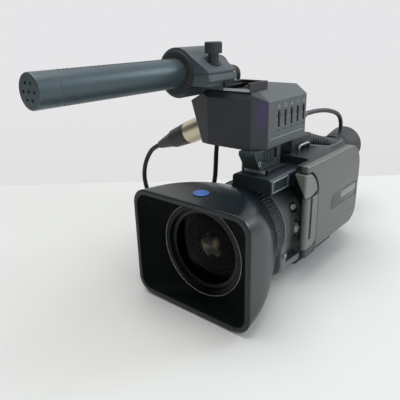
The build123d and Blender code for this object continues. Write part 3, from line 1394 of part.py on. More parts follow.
with BuildPart() as holder_upper:
    with BuildSketch(front_plane(holder_front_y)):
        with Locations((mic_x, mic_z)):
            Circle(holder_r)
        with BuildLine():
            Polyline(
                (mic_x, mic_z + holder_r),
                (mic_x + 6.8, mic_z + holder_r - 1.5),
                (holder_right_x, mic_z + 1.9),
                (holder_right_x, mic_z),
                (mic_x, mic_z),
                close=True,
            )
        make_face()
    extrude(amount=-holder_len)
    box_between((hinge_x, mic_x), (holder_front_y, knuckle_ys[1]), (mic_z, mic_z + 4))
    box_between((hinge_x, mic_x), (knuckle_ys[2], holder_rear_y), (mic_z, mic_z + 4))
    box_between((mic_x - 40, mic_x + 60), (holder_front_y - 1, holder_rear_y + 1),
                (mic_z - 40, split_high_z), Mode.SUBTRACT)
    rod((hinge_x, knuckle_ys[1] - 0.1, mic_z), (0, 1, 0), holder_knuckle_r + 0.4,
        knuckle_ys[2] - knuckle_ys[1] + 0.2, Mode.SUBTRACT)
    rod((hinge_x, holder_front_y, mic_z), (0, 1, 0), holder_knuckle_r, 11)
    rod((hinge_x, knuckle_ys[2], mic_z), (0, 1, 0), holder_knuckle_r, 11)
    rod((hinge_x, holder_front_y - 1, mic_z), (0, 1, 0), holder_pin_r + pin_gap, holder_len + 2, Mode.SUBTRACT)
    rod((mic_x, holder_front_y - 1, mic_z), (0, 1, 0), holder_bore_r, holder_len + 2, Mode.SUBTRACT)
    rod((clamp_x, clamp_y, holder_shelf_z), (0, 0, 1), 6.2, 20, Mode.SUBTRACT)
    rod((clamp_x, clamp_y, mic_z - 1), (0, 0, 1), clamp_thread_r + 0.3, 20, Mode.SUBTRACT)
save(holder_upper, "holder_upper")

with BuildPart() as clamp_screw:
    neck_z = holder_shelf_z + seat_gap
    head_z = neck_z + clamp_neck_h
    rod((clamp_x, clamp_y, split_low_z - clamp_tip), (0, 0, 1), clamp_thread_r, neck_z - split_low_z + clamp_tip)
    rod((clamp_x, clamp_y, neck_z), (0, 0, 1), clamp_neck_r + 0.8, 1.2)
    rod((clamp_x, clamp_y, neck_z), (0, 0, 1), clamp_neck_r, clamp_neck_h)
    rod((clamp_x, clamp_y, head_z), (0, 0, 1), clamp_head_r, clamp_head_h)
    fillet(clamp_screw.faces().sort_by(Axis.Z)[-1].edges(), 1.0)
    with BuildSketch(top_plane(head_z - 1)):
        with Locations((clamp_x, clamp_y)):
            with PolarLocations(clamp_head_r, 20):
                Rectangle(1.0, 0.9)
    extrude(amount=clamp_head_h, mode=Mode.SUBTRACT)
    with BuildSketch(top_plane(neck_z + 1.2)):
        with Locations((clamp_x, clamp_y)):
            with PolarLocations(clamp_neck_r, 8):
                Rectangle(1.2, 1.3)
    extrude(amount=clamp_neck_h - 1.2, mode=Mode.SUBTRACT)
save(clamp_screw, "clamp_screw")

with BuildPart() as rubber_ring:
    sleeve_y = holder_front_y - soft_gap
    with BuildSketch(side_plane(mic_x)):
        with BuildLine():
            Polyline(
                (sleeve_y - rubber_flange, mic_z + mic_r + soft_gap),
                (sleeve_y - rubber_flange, mic_z + holder_bore_r + 2.2),
                (sleeve_y, mic_z + holder_bore_r + 2.6),
                (sleeve_y, mic_z + rubber_r - 0.1),
                (holder_rear_y, mic_z + rubber_r - 0.1),
                (holder_rear_y, mic_z + mic_r + soft_gap),
                close=True,
            )
        make_face()
    revolve(axis=mic_axis)
save(rubber_ring, "rubber_ring")

# ---------------------------------------------------------------- microphone plug and cable
shell_end = xlr_shell_len
body_end = shell_end + xlr_body_len
plug_end = body_end + xlr_boot_len
with BuildPart() as xlr_shell:
    rod(along_socket(xlr_y, -8), face_out, xlr_r, shell_end + 8)
    fillet(xlr_shell.faces().sort_by(Axis(along_socket(xlr_y, 0), face_out))[-1].edges(), 0.8)
    rod(along_socket(xlr_y, -9), face_out, 7.8, 9.5, Mode.SUBTRACT)
save(xlr_shell, "xlr_shell")

with BuildPart() as xlr_body:
    with BuildSketch(Plane(origin=along_socket(xlr_y, shell_end + 0.1), z_dir=face_out)):
        Circle(xlr_r - 0.2)
    with BuildSketch(Plane(origin=along_socket(xlr_y, body_end), z_dir=face_out)):
        Circle(xlr_r - 1.6)
    loft()
    with BuildSketch(Plane(origin=along_socket(xlr_y, body_end), z_dir=face_out)):
        Circle(xlr_r - 2.4)
    with BuildSketch(Plane(origin=along_socket(xlr_y, plug_end), z_dir=face_out)):
        Circle(xlr_boot_r - 0.6)
    loft()
save(xlr_body, "xlr_body")

plug_tip = along_socket(xlr_y, plug_end)
plug_next = along_socket(xlr_y, plug_end + 10.5)
mic_cable_route = [
    (mic_x, mic_rear_y + gland_len, mic_z),
    (mic_x, mic_rear_y + gland_len + 12, mic_z),
    (-49.0, -1.0, 157.0),
    (-55.0, 4.5, 145.0),
    (-60.0, 2.5, 131.0),
    (-63.2, -4.0, 117.5),
    (-64.4, -10.5, 103.5),
    (-63.0, -16.5, 89.5),
    (-59.8, -21.5, 76.0),
    (-58.4, -25.0, 62.0),
    (-60.5, -28.0, 48.0),
    (-68.5, -31.5, 36.0),
    (-82.0, -37.0, 29.5),
    (-97.5, -43.5, 29.0),
    (-111.0, -49.0, 34.0),
    (-120.0, -52.0, 44.5),
    (-124.0, -52.5, 58.0),
    (-122.5, -52.0, 71.5),
    (-117.2, -51.3, 82.5),
    plug_next,
    plug_tip,
]
print("mic cable route", [tuple(round(c, 2) for c in p) for p in mic_cable_route])
cord_part("mic_cable", mic_cable_route, mic_cable_d)
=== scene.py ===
"""Compact professional camcorder: the looks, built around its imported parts.

Metres.  The origin is the mouth of the tripod socket, the lens looks along -Y,
the folding screen is on the +X side and +Z is up.
"""

from math import asin, atan2, cos, degrees, hypot, pi, radians, sin

import bmesh
import bpy
from mathutils import Matrix, Vector


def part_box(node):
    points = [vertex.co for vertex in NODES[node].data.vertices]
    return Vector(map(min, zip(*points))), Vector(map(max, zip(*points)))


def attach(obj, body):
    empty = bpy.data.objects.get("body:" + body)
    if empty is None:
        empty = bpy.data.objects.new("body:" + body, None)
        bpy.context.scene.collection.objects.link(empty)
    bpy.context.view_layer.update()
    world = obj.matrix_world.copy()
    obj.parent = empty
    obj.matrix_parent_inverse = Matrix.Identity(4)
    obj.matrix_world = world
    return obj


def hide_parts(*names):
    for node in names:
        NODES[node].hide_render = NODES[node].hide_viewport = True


bl_info = {
    "name": "Compact camcorder",
    "version": (1, 0, 0),
    "blender": (4, 5, 0),
    "location": "View3D > Sidebar > Camcorder",
    "description": "Dresses a compact professional camcorder with its finishes and fine pieces",
    "category": "Add Mesh",
}

MM = 0.001
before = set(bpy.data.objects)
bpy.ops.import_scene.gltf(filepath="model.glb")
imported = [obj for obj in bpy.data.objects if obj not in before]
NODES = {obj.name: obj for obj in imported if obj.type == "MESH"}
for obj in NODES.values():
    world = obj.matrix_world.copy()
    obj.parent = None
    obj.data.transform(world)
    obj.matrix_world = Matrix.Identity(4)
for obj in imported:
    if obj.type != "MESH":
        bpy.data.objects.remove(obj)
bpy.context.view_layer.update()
BODY = "camera"

# the lens's axis lies at X 0 and this height, mm
LENS_Z = 44.0
# the barrel's radius at its front, how much it loses toward the rear, and over what length, mm
BARREL_RADIUS, BARREL_TAPER, BARREL_LENGTH = 34.0, 2.0, 30.0
BARREL_MIDDLE = BARREL_RADIUS - BARREL_TAPER / 2

# sockets of a Mix node that mixes colours: its two colours, and its result
FIRST, SECOND, MIXED = 6, 7, 2


# ---------------------------------------------------------------- colour and nodes
def linear(hex_colour):
    """Turn one sRGB hex colour into linear RGBA."""
    parts = [int(hex_colour[i:i + 2], 16) / 255 for i in (1, 3, 5)]
    return tuple(c / 12.92 if c <= 0.04045 else ((c + 0.055) / 1.055) ** 2.4 for c in parts) + (1.0,)


def add(tree, kind, settings=None, inputs=None):
    """Add one node with its settings, and give its inputs values or links."""
    node = tree.nodes.new(kind)
    for key, value in (settings or {}).items():
        setattr(node, key, value)
    for key, value in (inputs or {}).items():
        if isinstance(value, bpy.types.NodeSocket):
            tree.links.new(value, node.inputs[key])
        else:
            node.inputs[key].default_value = value
    return node


def blank(name):
    """A material with an empty node tree and its output."""
    material = bpy.data.materials.new(name)
    material.use_nodes = True
    tree = material.node_tree
    tree.nodes.clear()
    return material, tree, tree.nodes.new("ShaderNodeOutputMaterial")


def finish(name, tone, roughness, grain=0.45, depth=0.02, drift=0.07, edge_wear_and_highlight_tone=None, edge=0.3,
           metallic=0.0, coat=0.0, sheen=0.0, specular=0.5, brushed=None, speck=None):
    """A solid finish: its tone drifts slowly, its grain is fine, and its edges are rounded and painted
    lighter, partly as wear and partly as a painted highlight.

    grain and edge are in millimetres, depth is the height of the grain in millimetres.
    """
    material, tree, out = blank(name)
    place = add(tree, "ShaderNodeTexCoord").outputs["Object"]
    # slow patches about 34 mm across, as on a handled case
    cloud = add(tree, "ShaderNodeTexNoise", None,
                {"Vector": place, "Scale": 1 / (34 * MM), "Detail": 4.0, "Roughness": 0.6})
    drifted = add(tree, "ShaderNodeMapRange", None, {
        "Value": cloud.outputs[0], "From Min": 0.3, "From Max": 0.7,
        "To Min": 1 - drift, "To Max": 1 + drift})
    dull = add(tree, "ShaderNodeMix", {"data_type": "RGBA", "blend_type": "MULTIPLY"},
               {0: 1.0, FIRST: linear(tone), SECOND: drifted.outputs[0]})
    rounded = add(tree, "ShaderNodeBevel", {"samples": 4}, {"Radius": edge * MM})
    flat = add(tree, "ShaderNodeNewGeometry")
    facing = add(tree, "ShaderNodeVectorMath", {"operation": "DOT_PRODUCT"},
                 {0: rounded.outputs[0], 1: flat.outputs["Normal"]})
    # edges painted lighter: partly wear, partly a painted highlight where the light catches them
    wear_and_highlight_share = add(tree, "ShaderNodeMapRange", None, {
        "Value": facing.outputs["Value"], "From Min": 0.995, "From Max": 0.86, "To Min": 0.0, "To Max": 0.5})
    colour = add(tree, "ShaderNodeMix", {"data_type": "RGBA"},
                 {0: wear_and_highlight_share.outputs[0], FIRST: dull.outputs[MIXED], SECOND: linear(edge_wear_and_highlight_tone or tone)})
    if speck:
        # grains of dust about a millimetre apart
        dust = add(tree, "ShaderNodeTexNoise", None,
                   {"Vector": place, "Scale": 1 / (1.1 * MM), "Detail": 2.0})
        dusty = add(tree, "ShaderNodeMapRange", None, {
            "Value": dust.outputs[0], "From Min": 0.66, "From Max": 0.8, "To Min": 0.0, "To Max": 0.35})
        colour = add(tree, "ShaderNodeMix", {"data_type": "RGBA"},
                     {0: dusty.outputs[0], FIRST: colour.outputs[MIXED], SECOND: linear(speck)})
    stretch = add(tree, "ShaderNodeMapping", None, {"Vector": place, "Scale": brushed or (1, 1, 1)})
    fine = add(tree, "ShaderNodeTexNoise", None,
               {"Vector": stretch.outputs[0], "Scale": 1 / (grain * MM), "Detail": 2.0})
    gloss = add(tree, "ShaderNodeMapRange", None, {
        "Value": fine.outputs[0], "From Min": 0.25, "From Max": 0.75,
        "To Min": roughness - 0.05, "To Max": roughness + 0.05})
    bump = add(tree, "ShaderNodeBump", None, {
        "Height": fine.outputs[0], "Strength": 0.6, "Distance": depth * MM, "Normal": rounded.outputs[0]})
    shader = add(tree, "ShaderNodeBsdfPrincipled", None, {
        "Base Color": colour.outputs[MIXED], "Roughness": gloss.outputs[0], "Metallic": metallic,
        "Coat Weight": coat, "Coat Roughness": 0.2, "Sheen Weight": sheen, "Specular IOR Level": specular,
        "Normal": bump.outputs[0]})
    tree.links.new(shader.outputs[0], out.inputs[0])
    return material


def front_blackened(material, start, end):
    """Turn a finish black in front of a place along Y, where the maker masks the paint; mm."""
    tree = material.node_tree
    shader = next(node for node in tree.nodes if node.bl_idname == "ShaderNodeBsdfPrincipled")
    painted = shader.inputs["Base Color"].links[0].from_socket
    apart = add(tree, "ShaderNodeSeparateXYZ", None, {0: add(tree, "ShaderNodeTexCoord").outputs["Object"]})
    masked = add(tree, "ShaderNodeMapRange", None,
                 {"Value": apart.outputs["Y"], "From Min": start * MM, "From Max": end * MM})
    colour = add(tree, "ShaderNodeMix", {"data_type": "RGBA"},
                 {0: masked.outputs[0], FIRST: linear("#05080a"), SECOND: painted})
    tree.links.new(colour.outputs[MIXED], shader.inputs["Base Color"])
    return material


def coated_glass(name, tone, ior):
    """Coated optical glass: clear, and its coating cuts the reflection to well under one percent."""
    material, tree, out = blank(name)
    place = add(tree, "ShaderNodeTexCoord").outputs["Object"]
    # faint smears about 9 mm across
    smear = add(tree, "ShaderNodeTexNoise", None, {"Vector": place, "Scale": 1 / (9 * MM), "Detail": 3.0})
    haze = add(tree, "ShaderNodeMapRange", None, {
        "Value": smear.outputs[0], "From Min": 0.4, "From Max": 0.8, "To Min": 0.01, "To Max": 0.07})
    shader = add(tree, "ShaderNodeBsdfPrincipled", None, {
        "Base Color": linear(tone), "Roughness": haze.outputs[0], "IOR": ior, "Transmission Weight": 1.0})
    tree.links.new(shader.outputs[0], out.inputs[0])
    return material


def coated_element(name, dark, bright):
    """An inner lens element: nearly black, with amber reflections of its coating painted into its colour."""
    material, tree, out = blank(name)
    place = add(tree, "ShaderNodeTexCoord").outputs["Object"]
    # painted reflections in patches about 8 mm across
    cloud = add(tree, "ShaderNodeTexNoise", None,
                {"Vector": place, "Scale": 1 / (8 * MM), "Detail": 0.0, "Distortion": 0.3})
    reflection_share = add(tree, "ShaderNodeMapRange", None,
                     {"Value": cloud.outputs[0], "From Min": 0.42, "From Max": 0.72})
    colour = add(tree, "ShaderNodeMix", {"data_type": "RGBA"},
                 {0: reflection_share.outputs[0], FIRST: linear(dark), SECOND: linear(bright)})
    shader = add(tree, "ShaderNodeBsdfPrincipled", None, {
        "Base Color": colour.outputs[MIXED], "Roughness": 0.05, "IOR": 1.9, "Coat Weight": 1.0,
        "Coat Roughness": 0.02, "Specular Tint": linear("#d8a27c")})
    tree.links.new(shader.outputs[0], out.inputs[0])
    return material


def webbing(name, tone, light):
    """Woven nylon webbing, read from the band's own UV map in metres."""
    material, tree, out = blank(name)
    uv = add(tree, "ShaderNodeUVMap", {"uv_map": "weave"}).outputs[0]
    # yarns of 0.9 mm, crossing at right angles: a wave spans two of them, and is 2 pi / 20 long at scale 1
    yarn = 0.9 * MM
    heights = []
    for direction in ("X", "Y"):
        wave = add(tree, "ShaderNodeTexWave", {"bands_direction": direction},
                   {"Vector": uv, "Scale": pi / (20 * yarn), "Distortion": 0.4, "Detail": 1.0})
        heights.append(wave.outputs["Fac"])
    weave = add(tree, "ShaderNodeMath", {"operation": "MULTIPLY"}, {0: heights[0], 1: heights[1]}).outputs[0]
    colour = add(tree, "ShaderNodeMix", {"data_type": "RGBA"},
                 {0: weave, FIRST: linear(tone), SECOND: linear(light)})
    bump = add(tree, "ShaderNodeBump", None, {"Height": weave, "Strength": 0.8, "Distance": 0.25 * MM})
    shader = add(tree, "ShaderNodeBsdfPrincipled", None, {
        "Base Color": colour.outputs[MIXED], "Roughness": 0.82, "Sheen Weight": 0.35,
        "Normal": bump.outputs[0]})
    tree.links.new(shader.outputs[0], out.inputs[0])
    return material


def abs_with_painted_sheen(name, tone, painted_sheen_tone):
    """Painted ABS with a painted violet sheen, a reflection, on its corner at the control side."""
    material, tree, out = blank(name)
    place = add(tree, "ShaderNodeTexCoord").outputs["Object"]
    apart = add(tree, "ShaderNodeSeparateXYZ", None, {0: place})
    painted_sheen_share = None
    # the axis, and where along it the painted sheen starts and is full, mm
    for axis, start, full in (("X", 10, 15), ("Z", 118, 133), ("Z", 146, 141)):
        share = add(tree, "ShaderNodeMapRange", {"interpolation_type": "SMOOTHSTEP"},
                    {"Value": apart.outputs[axis], "From Min": start * MM, "From Max": full * MM}).outputs[0]
        if painted_sheen_share is None:
            painted_sheen_share = share
        else:
            painted_sheen_share = add(tree, "ShaderNodeMath", {"operation": "MULTIPLY"}, {0: painted_sheen_share, 1: share}).outputs[0]
    # painted reflection: the violet sheen is mixed into the colour
    colour = add(tree, "ShaderNodeMix", {"data_type": "RGBA"},
                 {0: painted_sheen_share, FIRST: linear(tone), SECOND: linear(painted_sheen_tone)})
    rounded = add(tree, "ShaderNodeBevel", {"samples": 4}, {"Radius": 0.8 * MM})
    # spray grain of half a millimetre
    fine = add(tree, "ShaderNodeTexNoise", None, {"Vector": place, "Scale": 1 / (0.5 * MM), "Detail": 2.0})
    bump = add(tree, "ShaderNodeBump", None, {
        "Height": fine.outputs[0], "Strength": 0.5, "Distance": 0.02 * MM, "Normal": rounded.outputs[0]})
    shader = add(tree, "ShaderNodeBsdfPrincipled", None, {
        "Base Color": colour.outputs[MIXED], "Roughness": 0.42, "Normal": bump.outputs[0]})
    tree.links.new(shader.outputs[0], out.inputs[0])
    return material


FINISHES = {}


def make_lens_finishes(tones):
    """The finishes of the hood, the lens and the barrel.

    After its name and colour, each finish here and below gives its roughness, the size and height of
    its grain in mm, how far its tone drifts, and the colour and the radius in mm of its edges, which are
    painted lighter, partly as wear and partly as a painted highlight.
    """
    made = FINISHES
    # ABS moulded with a satin skin, a little dusty: near black, with soft highlights on its crown
    made["hood"] = finish("Moulded ABS satin black", tones.hood, 0.3, 0.6, 0.02, 0.12, "#20292d", 0.5,
                          coat=0.12, specular=0.42, speck="#172126")
    # the same ABS moulded matt inside, against stray light: hardly a highlight at all
    made["funnel"] = finish("Matt black inner moulding", "#030708", 0.6, 0.8, 0.05, 0.1, specular=0.1)
    # turned and black anodised: deep black, with a narrow highlight painted round the edges of each ring
    made["anodised"] = finish("Black anodised aluminium", "#05080a", 0.34, 0.3, 0.01, 0.05, "#3a4042", 0.2,
                              specular=0.25)
    # painted highlight: a fine pale line where a turned edge catches the light
    made["ring_highlight"] = finish("Rubbed turned edge", "#b4babb", 0.3, 0.3, 0.005, 0.05, metallic=0.4)
    # painted highlight: a thin, even grey line along the front edge of the painted barrel
    made["barrel_highlight"] = finish("Pale turned line", "#62676a", 0.35, 0.5, 0.005, 0.03)
    # blackened aluminium behind the glass: darker than all that stands round it
    made["optics"] = finish("Matt black lens mount", "#020304", 0.6, 2.0, 0.001, 0.05, specular=0.05)
    # ground and coated glass: the eye looks through it, and sees the room on it only faintly
    made["glass"] = coated_glass("Coated front glass", "#b4bcc0", 1.13)
    # the inner element has amber reflections painted into its colour
    made["element"] = coated_element("Coated inner element", "#24170f", "#f2c69c")
    # metal flake paint on a moulded barrel, masked black at its front: a warm grey with a dull shine
    made["barrel"] = front_blackened(
        finish("Painted barrel warm grey", tones.barrel, 0.42, 0.5, 0.02, 0.08, "#8f9391", 0.5,
               metallic=0.1), -60, -56)
    # rubber moulded in ribs: dark hollows, and crests painted pale as a highlight, a little worn
    made["ribs"] = finish("Ribbed grip rubber", "#272d30", 0.4, 0.5, 0.02, 0.1, "#ccd2d3", 0.65,
                          specular=0.7)


def make_body_finishes(tones):
    """The finishes of the camera's body, its screen, its viewfinder and its grip."""
    made = FINISHES
    # ABS moulded in its own colour: plain and satin, lighter at the edges
    made["white"] = finish("Moulded white button", "#d3d5d3", 0.35, 0.4, 0.01, 0.04, "#eceeec", 0.3)
    made["silver"] = finish("Moulded silver switch", "#dfe2e2", 0.3, 0.4, 0.01, 0.05, "#f0f2f2", 0.3)
    made["knob_white"] = finish("Moulded pale knob", "#8f9494", 0.4, 0.4, 0.01, 0.05, "#b9bdbd", 0.3)
    made["black"] = finish("Moulded black ABS", "#1d1f21", 0.48, 0.6, 0.03, 0.08, "#43474a", 0.35)
    made["battery"] = finish("Moulded battery case", "#26282b", 0.5, 0.5, 0.03, 0.06, "#45494c", 0.4)
    made["finder"] = finish("Moulded finder charcoal", "#313539", 0.45, 0.5, 0.02, 0.08, "#5c6064", 0.6)
    # ABS from a polished mould: a clear red with a small sharp highlight
    made["red"] = finish("Moulded red button", "#a81f28", 0.3, 0.5, 0.01, 0.05, "#cf4a50", 0.3, coat=0.3)
    # metal flake paint: a soft shine that follows the light, and pale edges, partly worn and partly a
    # painted highlight
    made["body"] = finish("Painted shell charcoal", tones.body, 0.42, 0.55, 0.02, 0.07, "#7a7f80", 0.6,
                          metallic=0.12)
    made["hinge"] = finish("Painted hinge warm grey", tones.hinge, 0.42, 0.55, 0.02, 0.06, "#979a95", 0.6,
                           metallic=0.15)
    made["panel"] = finish("Painted panel grey green", tones.panel, 0.4, 0.5, 0.02, 0.05, "#9fa49f", 0.6,
                           metallic=0.15)
    # painted light: the panel's paint, made lighter on the column, where the light falls on it more
    made["column"] = finish("Painted column lighter grey", "#6b706d", 0.4, 0.5, 0.02, 0.05, "#9fa49f", 0.6,
                            metallic=0.15)
    made["groove"] = finish("Panel groove darker grey", "#4b504e", 0.5, 0.5, 0.02, 0.05, "#6c706e", 0.3)
    made["bar"] = finish("Panel bar lighter grey", "#858b88", 0.35, 0.5, 0.01, 0.04, "#a9aeab", 0.2,
                         metallic=0.2)
    made["badge"] = finish("Dark badge plate", "#3a454b", 0.28, 0.5, 0.005, 0.05, "#9aa3a6", 0.35,
                           metallic=0.3)
    # cast acrylic over a dark screen: mirror smooth
    made["screen"] = finish("Glossy screen face", "#0b0d10", 0.08, 3.0, 0.002, 0.05, coat=0.6)
    # moulded soft rubber: matt, with a faint bloom at a low angle
    made["rubber"] = finish("Soft rubber", "#222426", 0.62, 0.7, 0.04, 0.1, "#3d4042", 0.4, sheen=0.15)
    # turned, pressed, ground, plated or polished metal: each with a sharper highlight than paint
    made["brass"] = finish("Turned brass", "#a8905a", 0.32, 0.3, 0.01, 0.08, "#d8c28a", 0.3, metallic=1.0)
    made["steel"] = finish("Turned steel", "#9a9d9f", 0.3, 0.3, 0.01, 0.05, "#cfd1d2", 0.2, metallic=1.0)
    made["pressed"] = finish("Pressed steel", "#83878a", 0.35, 0.5, 0.01, 0.06, "#b6babc", 0.3,
                             metallic=1.0)
    made["shoe"] = finish("Black plated steel", "#26282a", 0.35, 0.4, 0.01, 0.06, "#8e9192", 0.3,
                          metallic=0.6)
    made["bare_edge"] = finish("Bare ground steel edge", "#b9bdbd", 0.35, 0.4, 0.005, 0.05, metallic=0.25)
    made["chrome"] = finish("Polished chrome", "#85898c", 0.25, 0.5, 0.003, 0.02, "#f0f2f4", 0.2,
                            metallic=1.0)
    # a glossy lacquered disc: clear blue under a bright coat
    made["blue"] = finish("Glossy blue inlay", "#2a63b4", 0.2, 0.6, 0.005, 0.12, "#4f86cc", 0.3, coat=0.6)
    # pad printing: flat, pale and even
    made["mark"] = finish("Pad printed mark", "#aeb2b1", 0.5, 0.5, 0.005, 0.03)
    # woven nylon, its thread and the embossed leatherette of its pad: no shine, a soft bloom
    made["strap"] = webbing("Woven nylon webbing", "#0e0f10", "#2c2e30")
    made["thread"] = finish("Polyester thread", "#37393b", 0.7, 0.2, 0.02, 0.1, sheen=0.3)
    made["pad"] = finish("Embossed pad leatherette", "#1a1b1d", 0.58, 1.6, 0.15, 0.1, "#303236", 0.8,
                         sheen=0.15)


def make_audio_finishes(tones):
    """The finishes of the adaptor, the microphone, their cables and their plugs."""
    made = FINISHES
    # sprayed ABS: an even black, with a painted violet sheen, a reflection, on its corner
    made["adaptor"] = abs_with_painted_sheen("Painted ABS adaptor black", tones.adaptor, "#3a2f58")
    # metal flake paint on the control side: grey, with pale edges, partly worn and partly a painted
    # highlight
    made["adaptor_side"] = finish("Painted adaptor side grey", tones.adaptor_side, 0.4, 0.5, 0.02, 0.06,
                                  "#a3a9a8", 0.7, metallic=0.2)
    # painted shade: a near black floor for a slot, which takes no light; it also makes a dark tick below
    # each adaptor slot
    made["slot"] = finish("Dark slot", "#0d0e0f", 0.6, 0.5, 0.01, 0.03)
    # ABS moulded with a fine grain: matt, a little lighter at the edges
    made["pedestal"] = finish("Moulded pedestal greenish black", "#333d3e", 0.45, 0.5, 0.03, 0.08,
                              "#565d5b", 0.5)
    made["holder"] = finish("Moulded holder grey", "#495357", 0.5, 0.5, 0.03, 0.08, "#6a7071", 0.6)
    made["knob"] = finish("Knurled knob black", "#3b4448", 0.5, 0.5, 0.03, 0.08, "#5b5f61", 0.3)
    # soft moulded vinyl and an extruded sheath: dull black, with one long soft highlight
    made["boot"] = finish("Moulded soft boot", "#1a1b1e", 0.5, 0.6, 0.03, 0.08, "#3a3c40", 0.4, sheen=0.1)
    made["cable"] = finish("Satin cable sheath", "#15171a", 0.42, 0.8, 0.02, 0.08, "#2a2c30", 0.2)
    # satin enamel on an alloy tube drawn along Y: faint streaks along the tube
    made["enamel"] = finish("Satin enamel slate", tones.microphone, 0.36, 0.4, 0.012, 0.06, "#7d8889", 0.4,
                            metallic=0.35, brushed=(1, 0.1, 1))
    # satin nickel plate: warm and brushed round the shell
    made["nickel"] = finish("Satin nickel plate champagne", "#cfc6ae", 0.34, 0.4, 0.01, 0.1, "#ddd3ba", 0.3,
                            metallic=0.9, brushed=(0.1, 1, 0.1))


# CAD nodes that keep their shape, and the finish of each
NODE_FINISH = {
    "filter_ring": "anodised", "front_lens": "glass", "inner_lens": "optics", "lens_barrel": "barrel",
    "focus_ring": "ribs", "focus_button": "white", "nd_switch": "silver", "auto_button": "knob_white",
    "base_plate": "black", "tripod_socket": "brass", "body_shell": "body", "accessory_shoe": "shoe",
    "hinge_block": "hinge", "lcd_column": "column", "lcd_pins": "steel", "lcd_cover": "panel",
    "lcd_bezel": "black", "lcd_screen": "screen", "viewfinder_tube": "finder", "viewfinder_pins": "steel",
    "eyepiece_lens": "glass", "diopter_lever": "black", "battery": "battery", "battery_latch": "black",
    "mode_dial": "black", "start_button": "red", "zoom_rocker": "black", "cassette_lid": "body",
    "lid_pin": "steel", "cassette_carriage": "pressed", "strap_lugs": "steel", "top_lug": "chrome",
    "adaptor_front": "adaptor", "adaptor_side": "adaptor_side", "adaptor_rear": "adaptor",
    "adaptor_shoe": "black", "xlr_sockets": "black", "pedestal": "pedestal", "lock_wheel": "pedestal",
    "cable_plug": "boot", "plug_boot": "boot", "mic_cap": "enamel", "mic_gland": "boot",
    "holder_lower": "holder", "holder_upper": "holder", "clamp_screw": "knob", "rubber_ring": "rubber",
    "xlr_shell": "nickel", "xlr_body": "boot",
    **{f"adaptor_switch_{number}": "black" for number in range(1, 6)},
}


# ---------------------------------------------------------------- mesh helpers
def put(name, mesh, body, finishes, replaces=(), sharp=32):
    """Make a finished mesh a piece: faces outwards, smooth but for its sharp edges, riding on a body."""
    work = bmesh.new()
    work.from_mesh(mesh)
    bmesh.ops.remove_doubles(work, verts=work.verts, dist=1e-7)
    bmesh.ops.recalc_face_normals(work, faces=work.faces)
    work.to_mesh(mesh)
    work.free()
    for kind in finishes:
        mesh.materials.append(FINISHES[kind])
    mesh.shade_smooth()
    mesh.set_sharp_from_angle(angle=radians(sharp))
    piece = bpy.data.objects.new(name, mesh)
    bpy.context.scene.collection.objects.link(piece)
    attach(piece, body)
    if replaces:
        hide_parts(*replaces)
    return piece


def mesh_of(name, points, faces, kinds=None):
    """A mesh from its points and faces, each face with the number of its finish."""
    mesh = bpy.data.meshes.new(name)
    mesh.from_pydata([tuple(p) for p in points], [], faces)
    if kinds:
        mesh.polygons.foreach_set("material_index", kinds)
    mesh.update()
    return mesh


def ring_faces(rings, around, closed, kinds=None):
    """The quads between rings of points, and the finish number of each."""
    faces, numbers = [], []
    last = rings if closed else rings - 1
    for i in range(last):
        j = (i + 1) % rings
        for k in range(around):
            m = (k + 1) % around
            faces.append((i * around + k, i * around + m, j * around + m, j * around + k))
            numbers.append(kinds[i] if kinds else 0)
    return faces, numbers


def turned(name, profile, centre, around=96):
    """A shape turned about an axis along Y: the profile is (radius, y) pairs in mm, closed on itself."""
    points = []
    for radius, y in profile:
        for k in range(around):
            angle = 2 * pi * k / around
            across, up = centre[0] + radius * cos(angle), centre[1] + radius * sin(angle)
            points.append((across * MM, y * MM, up * MM))
    faces, _ = ring_faces(len(profile), around, True)
    return mesh_of(name, points, faces)


def soft_box(low, high, radius, turn=None, about=None):
    """A box between two corners in mm, all its edges rounded, and turned about a place where asked."""
    work = bmesh.new()
    bmesh.ops.create_cube(work, size=1)
    middle = (Vector(low) + Vector(high)) / 2
    size = Vector(high) - Vector(low)
    bmesh.ops.transform(work, matrix=Matrix.Translation(middle * MM) @ Matrix.Diagonal((*(size * MM), 1)),
                        verts=work.verts)
    bmesh.ops.bevel(work, geom=work.edges[:], offset=radius * MM, segments=3, profile=0.5, affect="EDGES")
    if turn is not None:
        pivot = Vector(about) * MM
        bmesh.ops.transform(work, matrix=Matrix.Translation(pivot) @ turn @ Matrix.Translation(-pivot),
                            verts=work.verts)
    mesh = bpy.data.meshes.new("soft_box")
    work.to_mesh(mesh)
    work.free()
    return mesh


def joined(name, meshes):
    """Several meshes as one; each face keeps the number of its finish."""
    work = bmesh.new()
    for mesh in meshes:
        work.from_mesh(mesh)
        bpy.data.meshes.remove(mesh)
    mesh = bpy.data.meshes.new(name)
    work.to_mesh(mesh)
    work.free()
    return mesh


def numbered(mesh, kind):
    """Give all faces of a mesh one finish number."""
    for face in mesh.polygons:
        face.material_index = kind
    return mesh


# ---------------------------------------------------------------- geometry nodes helpers
def node_tree(name, inputs):
    """A geometry tree with a geometry input, the named inputs and a geometry output."""
    tree = bpy.data.node_groups.new(name, "GeometryNodeTree")
    tree.interface.new_socket("Geometry", in_out="INPUT", socket_type="NodeSocketGeometry")
    for label, kind, value in inputs:
        socket = tree.interface.new_socket(label, in_out="INPUT", socket_type=kind)
        if value is not None:
            socket.default_value = value
    tree.interface.new_socket("Geometry", in_out="OUTPUT", socket_type="NodeSocketGeometry")
    return tree, add(tree, "NodeGroupInput"), add(tree, "NodeGroupOutput")


